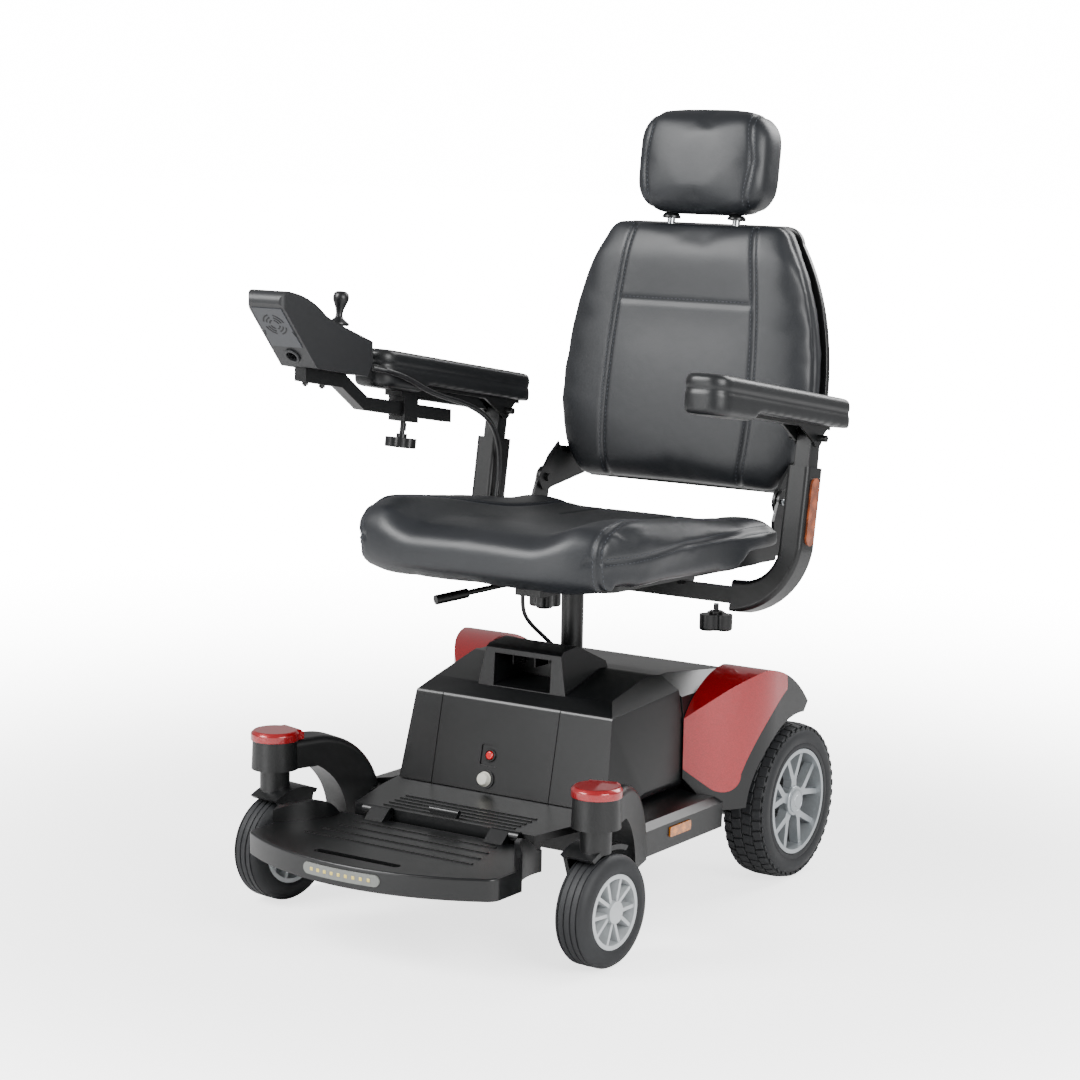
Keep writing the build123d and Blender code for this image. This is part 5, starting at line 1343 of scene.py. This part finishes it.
class CHAIR_OT_drive_tyres(bpy.types.Operator):
    """Make the solid drive tyres with their block tread"""

    bl_idname = "chair.drive_tyres"
    bl_label = "Drive tyres"

    def execute(self, context):
        tread = context.scene.chair_treads
        height = tread.depth / MM
        base = WHEEL_R - height
        profile = [
            (77.6, -29), (79, -32.5), (84, -33.2), (86, -32.2), (88, -33.4), (97, -33.8),
            (104, -31.8), (base - 2.4, -25), (base - 0.4, -14), (base, 0),
            (base - 0.4, 14), (base - 2.4, 25), (104, 31.8), (97, 33.8), (88, 33.4),
            (86, 32.2), (84, 33.2), (79, 32.5), (77.6, 29),
        ]
        pitch = 2 * math.pi / tread.blocks
        for side, sx in (("left", 1), ("right", -1)):
            centre = Vector((sx * WHEEL_CENTRE.x, WHEEL_CENTRE.y, WHEEL_CENTRE.z))
            place = wheel_matrix(centre, Vector((sx, 0, 0)))
            meshes = [turned(profile, 128, place)]
            rows = (
                (-8.3, 0.0, (height + 1.4, 14.2, 15.0), 0.14, 0.02, base + height / 2 - 0.9),
                (8.3, 0.5, (height + 1.4, 14.2, 15.0), -0.14, -0.02, base + height / 2 - 0.9),
                (-23.2, 0.5, (height + 1.4, 13.6, 12.6), -0.10, 0.20, base + height / 2 - 2.6),
                (23.2, 0.0, (height + 1.4, 13.6, 12.6), 0.10, -0.20, base + height / 2 - 2.6),
                (-30.2, 0.0, (7.0, 9.0, 2.0), 0.0, 0.36, base - 6.6),
                (30.2, 0.5, (7.0, 9.0, 2.0), 0.0, -0.36, base - 6.6),
            )
            for across, phase, size, skew, tilt, reach in rows:
                lean = Matrix.Rotation(tilt, 4, "Y") @ Matrix.Rotation(skew, 4, "X")
                block = rounded_box(size, 0.7, Matrix.Translation((0, 0, across * MM)) @ lean, 1)
                meshes.append(
                    repeat(
                        "round",
                        block,
                        {"Count": tread.blocks, "Radius": reach * MM, "Start": phase * pitch},
                        "wheel_rubber",
                        place,
                    )
                )
            finish_piece(
                f"drive_tyre_tread_{side}", joined(meshes), "wheel_rubber",
                f"drive_wheel_{side}", [f"drive_tyre_{side}"],
            )
        return {"FINISHED"}


class CHAIR_OT_caster_tyres(bpy.types.Operator):
    """Make the ribbed caster tyres"""

    bl_idname = "chair.caster_tyres"
    bl_label = "Caster tyres"

    def execute(self, context):
        half = []
        for z, r in ((24.2, 52.5), (25, 56), (24.8, 62), (23.4, 68), (20.6, 72.6), (17.4, 74.9)):
            half.append((r, z))
        for groove in (14.5, 5.0):
            half += [
                (75.7, groove + 1.4), (74.3, groove + 0.8), (74.3, groove - 0.8), (75.9, groove - 1.4),
            ]
        upper = [(50.5, 22.5)] + half + [(76.1, 0.6)]
        profile = upper + [(r, -z) for r, z in reversed(upper)]
        for side, sx in (("left", 1), ("right", -1)):
            turn = CASTER_TURN[side]
            axle = Vector((math.cos(turn), math.sin(turn), 0))
            trail = Vector((-math.sin(turn), math.cos(turn), 0)) * CASTER_TRAIL
            centre = Vector((sx * CASTER_PIVOT.x, CASTER_PIVOT.y, CASTER_R)) + trail
            place = wheel_matrix(centre, axle)
            finish_piece(
                f"caster_tyre_ribbed_{side}", turned(profile, 112, place), "wheel_rubber",
                f"caster_wheel_{side}", [f"caster_tyre_{side}"],
            )
        return {"FINISHED"}


# Pieces whose corner edges are eased, with the width of the easing in mm.
EASED = {
    "battery_case": 2.0,
    "rear_shroud": 2.0,
    "fender_left": 1.2,
    "fender_right": 1.2,
    "fender_panel_left": 1.4,
    "fender_panel_right": 1.4,
    "side_skirts": 1.5,
    "front_deck": 0.8,
    "footplate": 1.0,
    "caster_arm_left": 2.0,
    "caster_arm_right": 2.0,
    "caster_caps": 1.2,
    "caster_fork_left": 0.8,
    "caster_fork_right": 0.8,
    "drive_rim_left": 0.8,
    "drive_rim_right": 0.8,
    "caster_rim_left": 0.6,
    "caster_rim_right": 0.6,
    "arm_receiver_left": 1.5,
    "arm_receiver_right": 1.5,
    "arm_upright_left": 1.0,
    "arm_upright_right": 1.0,
    "arm_bracket_left": 0.6,
    "arm_bracket_right": 0.8,
    "joystick_bar": 0.9,
    "joystick_pod": 2.5,
    "arm_knob_left": 1.0,
    "arm_knob_right": 1.0,
    "bar_knob": 1.0,
    "seat_pan": 1.0,
    "swivel_head": 1.0,
    "swivel_lever": 0.8,
    "back_brackets": 0.7,
    "back_hinges": 0.7,
    "deck_latch": 0.5,
    "back_shell": 1.5,
    "cross_tube": 0.5,
}


class CHAIR_OT_mouldings(bpy.types.Operator):
    """Finish the CAD nodes, easing the corners of the mouldings and brackets"""

    bl_idname = "chair.mouldings"
    bl_label = "Mouldings and metalwork"

    def execute(self, context):
        slots = {s["node"]: s["material_slot"] for s in frame["record"]["subparts"]}
        bodies = frame["record"]["behaviour"]["bodies"]
        body_of_node = {n: body for body, nodes in bodies.items() for n in nodes}
        for name, cad in frame["nodes"].items():
            slot = slots[name]
            cad.data.materials.clear()
            cad.data.materials.append(MATERIALS[slot])
            if name in EASED:
                finish_piece(
                    f"{name}_eased", eased_copy(name, EASED[name]), slot,
                    body_of_node[name], [name], None,
                )
        return {"FINISHED"}


class CHAIR_OT_controller(bpy.types.Operator):
    """Dress the controller's face: face plate, grille, socket ring and pins, and the joystick knob"""

    bl_idname = "chair.controller"
    bl_label = "Controller"

    def execute(self, context):
        def face(x, v, lift=0.0):
            return axes_matrix(
                on_plane(POD_FACE_ORIGIN, POD_FACE_UP, POD_FACE_OUT, x, v, lift),
                Vector((1, 0, 0)), POD_FACE_UP, POD_FACE_OUT,
            )

        plate = rounded_box((54, 74, 1.6), 0.7, face(0, 76, 0.2))
        finish_piece("controller_face", plate, "controller_face", "joystick_arm")
        # Painted shade: the grille's slots are near-black bars that stand for the shade in the openings.
        bars = []
        for radius in (8, 13, 18):
            for quarter in range(4):
                middle = math.pi / 4 + quarter * math.pi / 2
                bars.append(arc_bar(radius, 2.0, 0.5, middle, 1.05, face(0, GRILLE_V, 0.9)))
        for beside in (-1, 1):
            bars.append(arc_bar(26, 1.6, 0.5, math.pi / 2 + beside * 1.35, 0.35, face(0, 60, 0.9)))
        finish_piece("controller_grille", joined(bars), "shadow", "joystick_arm")
        ring = [(8.3, 0), (12.4, 0), (12.4, 1.8), (11.4, 2.6), (9.2, 2.6), (8.3, 1.8)]
        finish_piece(
            "charger_ring", turned(ring, 40, face(0, CHARGER_V, 0.8)), "controller_shell",
            "joystick_arm",
        )
        pin = turned([(0, 0), (1.2, 0), (1.2, 7), (0.8, 8), (0, 8)], 12, Matrix.Identity(4))
        pins = repeat(
            "round", pin, {"Count": 3, "Radius": 4.4 * MM, "Start": math.pi / 2}, "bright_steel",
            face(0, CHARGER_V, -9.5),
        )
        finish_piece("charger_pins", pins, "bright_steel", "joystick_arm")
        stick = axes_matrix(at(*STICK_PIVOT), Vector((1, 0, 0)), ARM_FORWARD * -1, ARM_UP)
        gaiter = [
            (0, 13.5), (14.0, 13.5), (15.5, 14.6), (15.5, 17.0), (14.0, 18.2), (12.6, 18.6),
            (11.6, 20.0), (9.8, 20.6), (8.4, 22.4), (6.6, 23.2), (5.6, 26.0), (0, 26.0),
        ]
        knob = [
            (0, 24), (5.4, 24), (5.0, 30), (6.0, 36), (8.8, 43), (11.2, 49), (11.6, 54),
            (10.4, 58.6), (7.0, 61.4), (3.0, 61.9), (0, 61.9),
        ]
        shaft = [(0, 10.3), (3.3, 10.3), (3.3, 14), (0, 14)]
        stick_mesh = joined([turned(p, 40, stick) for p in (gaiter, knob, shaft)])
        finish_piece(
            "joystick_knob", stick_mesh, "cable_sheath", "stick",
            ["joystick_stick"], 50,
        )
        return {"FINISHED"}


class CHAIR_OT_fittings(bpy.types.Operator):
    """Add studs, screws, light chips, port trim and handle ribs"""

    bl_idname = "chair.fittings"
    bl_label = "Fittings"

    def execute(self, context):
        upright = Matrix.Identity(4).to_3x3()
        across, along, up = upright.col[0], upright.col[1], upright.col[2]
        lens = frame["nodes"]["toe_light"].data
        low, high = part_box("toe_light")
        middle = (low[2] + high[2]) / 2
        starts = [Vector((i * 11.6 * MM, low[1] - 0.1, middle)) for i in range(-4, 5)]
        chips = [
            rounded_box((4.6, 1.2, 4.6), 0.5, Matrix.Translation(place), 1)
            for place in laid_on(lens, starts, Vector((0, 1, 0)))
        ]
        finish_piece("toe_light_chips", joined(chips), "led", "footplate_flip")

        def front(x, v, lift=0.0):
            return axes_matrix(
                on_plane(CASE_FRONT_ORIGIN, CASE_FRONT_UP, CASE_FRONT_OUT, x, v, lift),
                Vector((1, 0, 0)), CASE_FRONT_UP, CASE_FRONT_OUT,
            )

        # Painted shade: a near-black ring stands for the shade in the recess round the reset button.
        bezel = [(6.6, -1.9), (9.6, -1.9), (9.6, -0.4), (8.6, 0.6), (7.4, 0.6), (6.6, -0.4)]
        finish_piece(
            "reset_bezel", turned(bezel, 32, front(RESET_X, RESET_V)), "shadow", "battery",
        )
        cap = [
            (0, 1.5), (10.6, 1.5), (10.6, 3.4), (9.4, 4.2), (9.2, 7.6), (7.8, 9.8), (3.6, 10.4), (0, 10.4),
        ]
        finish_piece("port_cap", turned(cap, 36, front(PORT_X, PORT_V)), "white_cap", "battery")
        rib = rounded_box((2.2, 34, 26), 0.6, Matrix.Identity(4), 1)
        ribs = repeat(
            "straight", rib, {"Count": 3, "Spacing": (38 * MM, 0, 0)}, "satin_black_plastic",
            Matrix.Translation(at(0, -20, 340)),
        )
        finish_piece("handle_ribs", ribs, "satin_black_plastic", "battery")
        screw = [(0, 0), (4.6, 0), (4.6, 2.6), (4.0, 3.2), (2.3, 3.2), (2.3, 1.4), (0, 1.4)]
        for side, sx in (("left", 1), ("right", -1)):
            out = Vector((sx, 0, 0))
            sideways = axes_matrix(at(sx * 289.2, 255, 652), out.cross(up), up * -1, out)
            inner = axes_matrix(at(sx * 252.8, 255, 652), out.cross(up) * -1, up * -1, out * -1)
            meshes = [turned(screw, 24, sideways), turned(screw, 24, inner)]
            finish_piece(
                f"arm_bolts_{side}", joined(meshes), "black_steel", f"arm_post_{side}",
            )
            stud = [(0, 0), (3.9, 0), (3.9, 16), (0, 16)]
            knob_top = axes_matrix(at(sx * 150, 214.1, 386), across, along, up)
            finish_piece(
                f"knob_stud_{side}", turned(stud, 20, knob_top), "zinc", f"tube_knob_{side}"
            )
            nuts = []
            for lift in (0, 1):
                place = axes_matrix(
                    at(sx * 213.4, 288 + 14 * lift, 549 - 26 * lift), out.cross(up), up * -1, out
                )
                nuts.append(turned(screw, 20, place))
            finish_piece(f"hinge_screws_{side}", joined(nuts), "zinc", "seat")
            hub = [
                (0, 0), (17.6, 0), (17.6, 1.6), (15.0, 2.6), (14.4, 2.0), (9.0, 2.2), (8.4, 3.0), (0, 3.0),
            ]
            wheel = wheel_matrix(
                Vector((sx * (WHEEL_CENTRE.x + 28), WHEEL_CENTRE.y, WHEEL_CENTRE.z)), out
            )
            finish_piece(
                f"hub_cap_{side}", turned(hub, 48, wheel), "rim_silver", f"drive_wheel_{side}"
            )
            centre = Vector((sx * WHEEL_CENTRE.x, WHEEL_CENTRE.y, WHEEL_CENTRE.z))
            # Painted shade: a thin near-black disc over the rim's web, so the openings between the spokes
            # look dark.
            dish = turned([(0, -9), (70.6, -9), (70.6, -8.5), (0, -8.5)], 64, wheel_matrix(centre, out))
            finish_piece(
                f"rim_dish_{side}", dish, "shadow", f"drive_wheel_{side}"
            )
            turn = CASTER_TURN[side]
            axle = Vector((math.cos(turn), math.sin(turn), 0)) * sx
            trail = Vector((-math.sin(turn), math.cos(turn), 0)) * CASTER_TRAIL
            middle = Vector((sx * CASTER_PIVOT.x, CASTER_PIVOT.y, CASTER_R)) + trail
            # Painted shade: a thin near-black disc over the caster rim's web, so its openings look dark.
            dish = turned([(0, 2), (43.9, 2), (43.9, 2.5), (0, 2.5)], 48, wheel_matrix(middle, axle))
            finish_piece(
                f"caster_dish_{side}", dish, "shadow", f"caster_wheel_{side}"
            )
        stud_low = Vector((-PAD_X, 20, 652 + 235 * math.tan(ARM_TILT) - 52))
        place = axes_matrix(at(*stud_low), across, ARM_FORWARD * -1, ARM_UP)
        finish_piece(
            "bar_knob_stud", turned([(0, 0), (4.2, 0), (4.2, 12), (0, 12)], 20, place), "zinc",
            "clamp_knob",
        )
        return {"FINISHED"}


# ---------------------------------------------------------------- panel and run
STEPS = (
    CHAIR_OT_stage,
    CHAIR_OT_cables,
    CHAIR_OT_mouldings,
    CHAIR_OT_seat,
    CHAIR_OT_back,
    CHAIR_OT_headrest,
    CHAIR_OT_arm_pads,
    CHAIR_OT_drive_tyres,
    CHAIR_OT_caster_tyres,
    CHAIR_OT_controller,
    CHAIR_OT_fittings,
)


class CHAIR_PT_panel(bpy.types.Panel):
    """The chair's settings and the steps that make it"""

    bl_label = "Power wheelchair"
    bl_idname = "CHAIR_PT_panel"
    bl_space_type = "VIEW_3D"
    bl_region_type = "UI"
    bl_category = "Wheelchair"

    def draw(self, context):
        layout = self.layout
        for group in (
            context.scene.chair_colours,
            context.scene.chair_upholstery,
            context.scene.chair_treads,
        ):
            box = layout.box()
            for name in group.__annotations__:
                box.prop(group, name)
        for step in STEPS:
            layout.operator(step.bl_idname)


CLASSES = (ChairColours, ChairUpholstery, ChairTreads, *STEPS, CHAIR_PT_panel)


def register():
    for made in CLASSES:
        bpy.utils.register_class(made)
    bpy.types.Scene.chair_colours = PointerProperty(type=ChairColours)
    bpy.types.Scene.chair_upholstery = PointerProperty(type=ChairUpholstery)
    bpy.types.Scene.chair_treads = PointerProperty(type=ChairTreads)


def unregister():
    del bpy.types.Scene.chair_colours
    del bpy.types.Scene.chair_upholstery
    del bpy.types.Scene.chair_treads
    for made in reversed(CLASSES):
        bpy.utils.unregister_class(made)


def main():
    register()
    MATERIALS.update(make_materials())
    for step in STEPS:
        group, name = step.bl_idname.split(".")
        getattr(getattr(bpy.ops, group), name)()


if __name__ == "__main__":
    main()
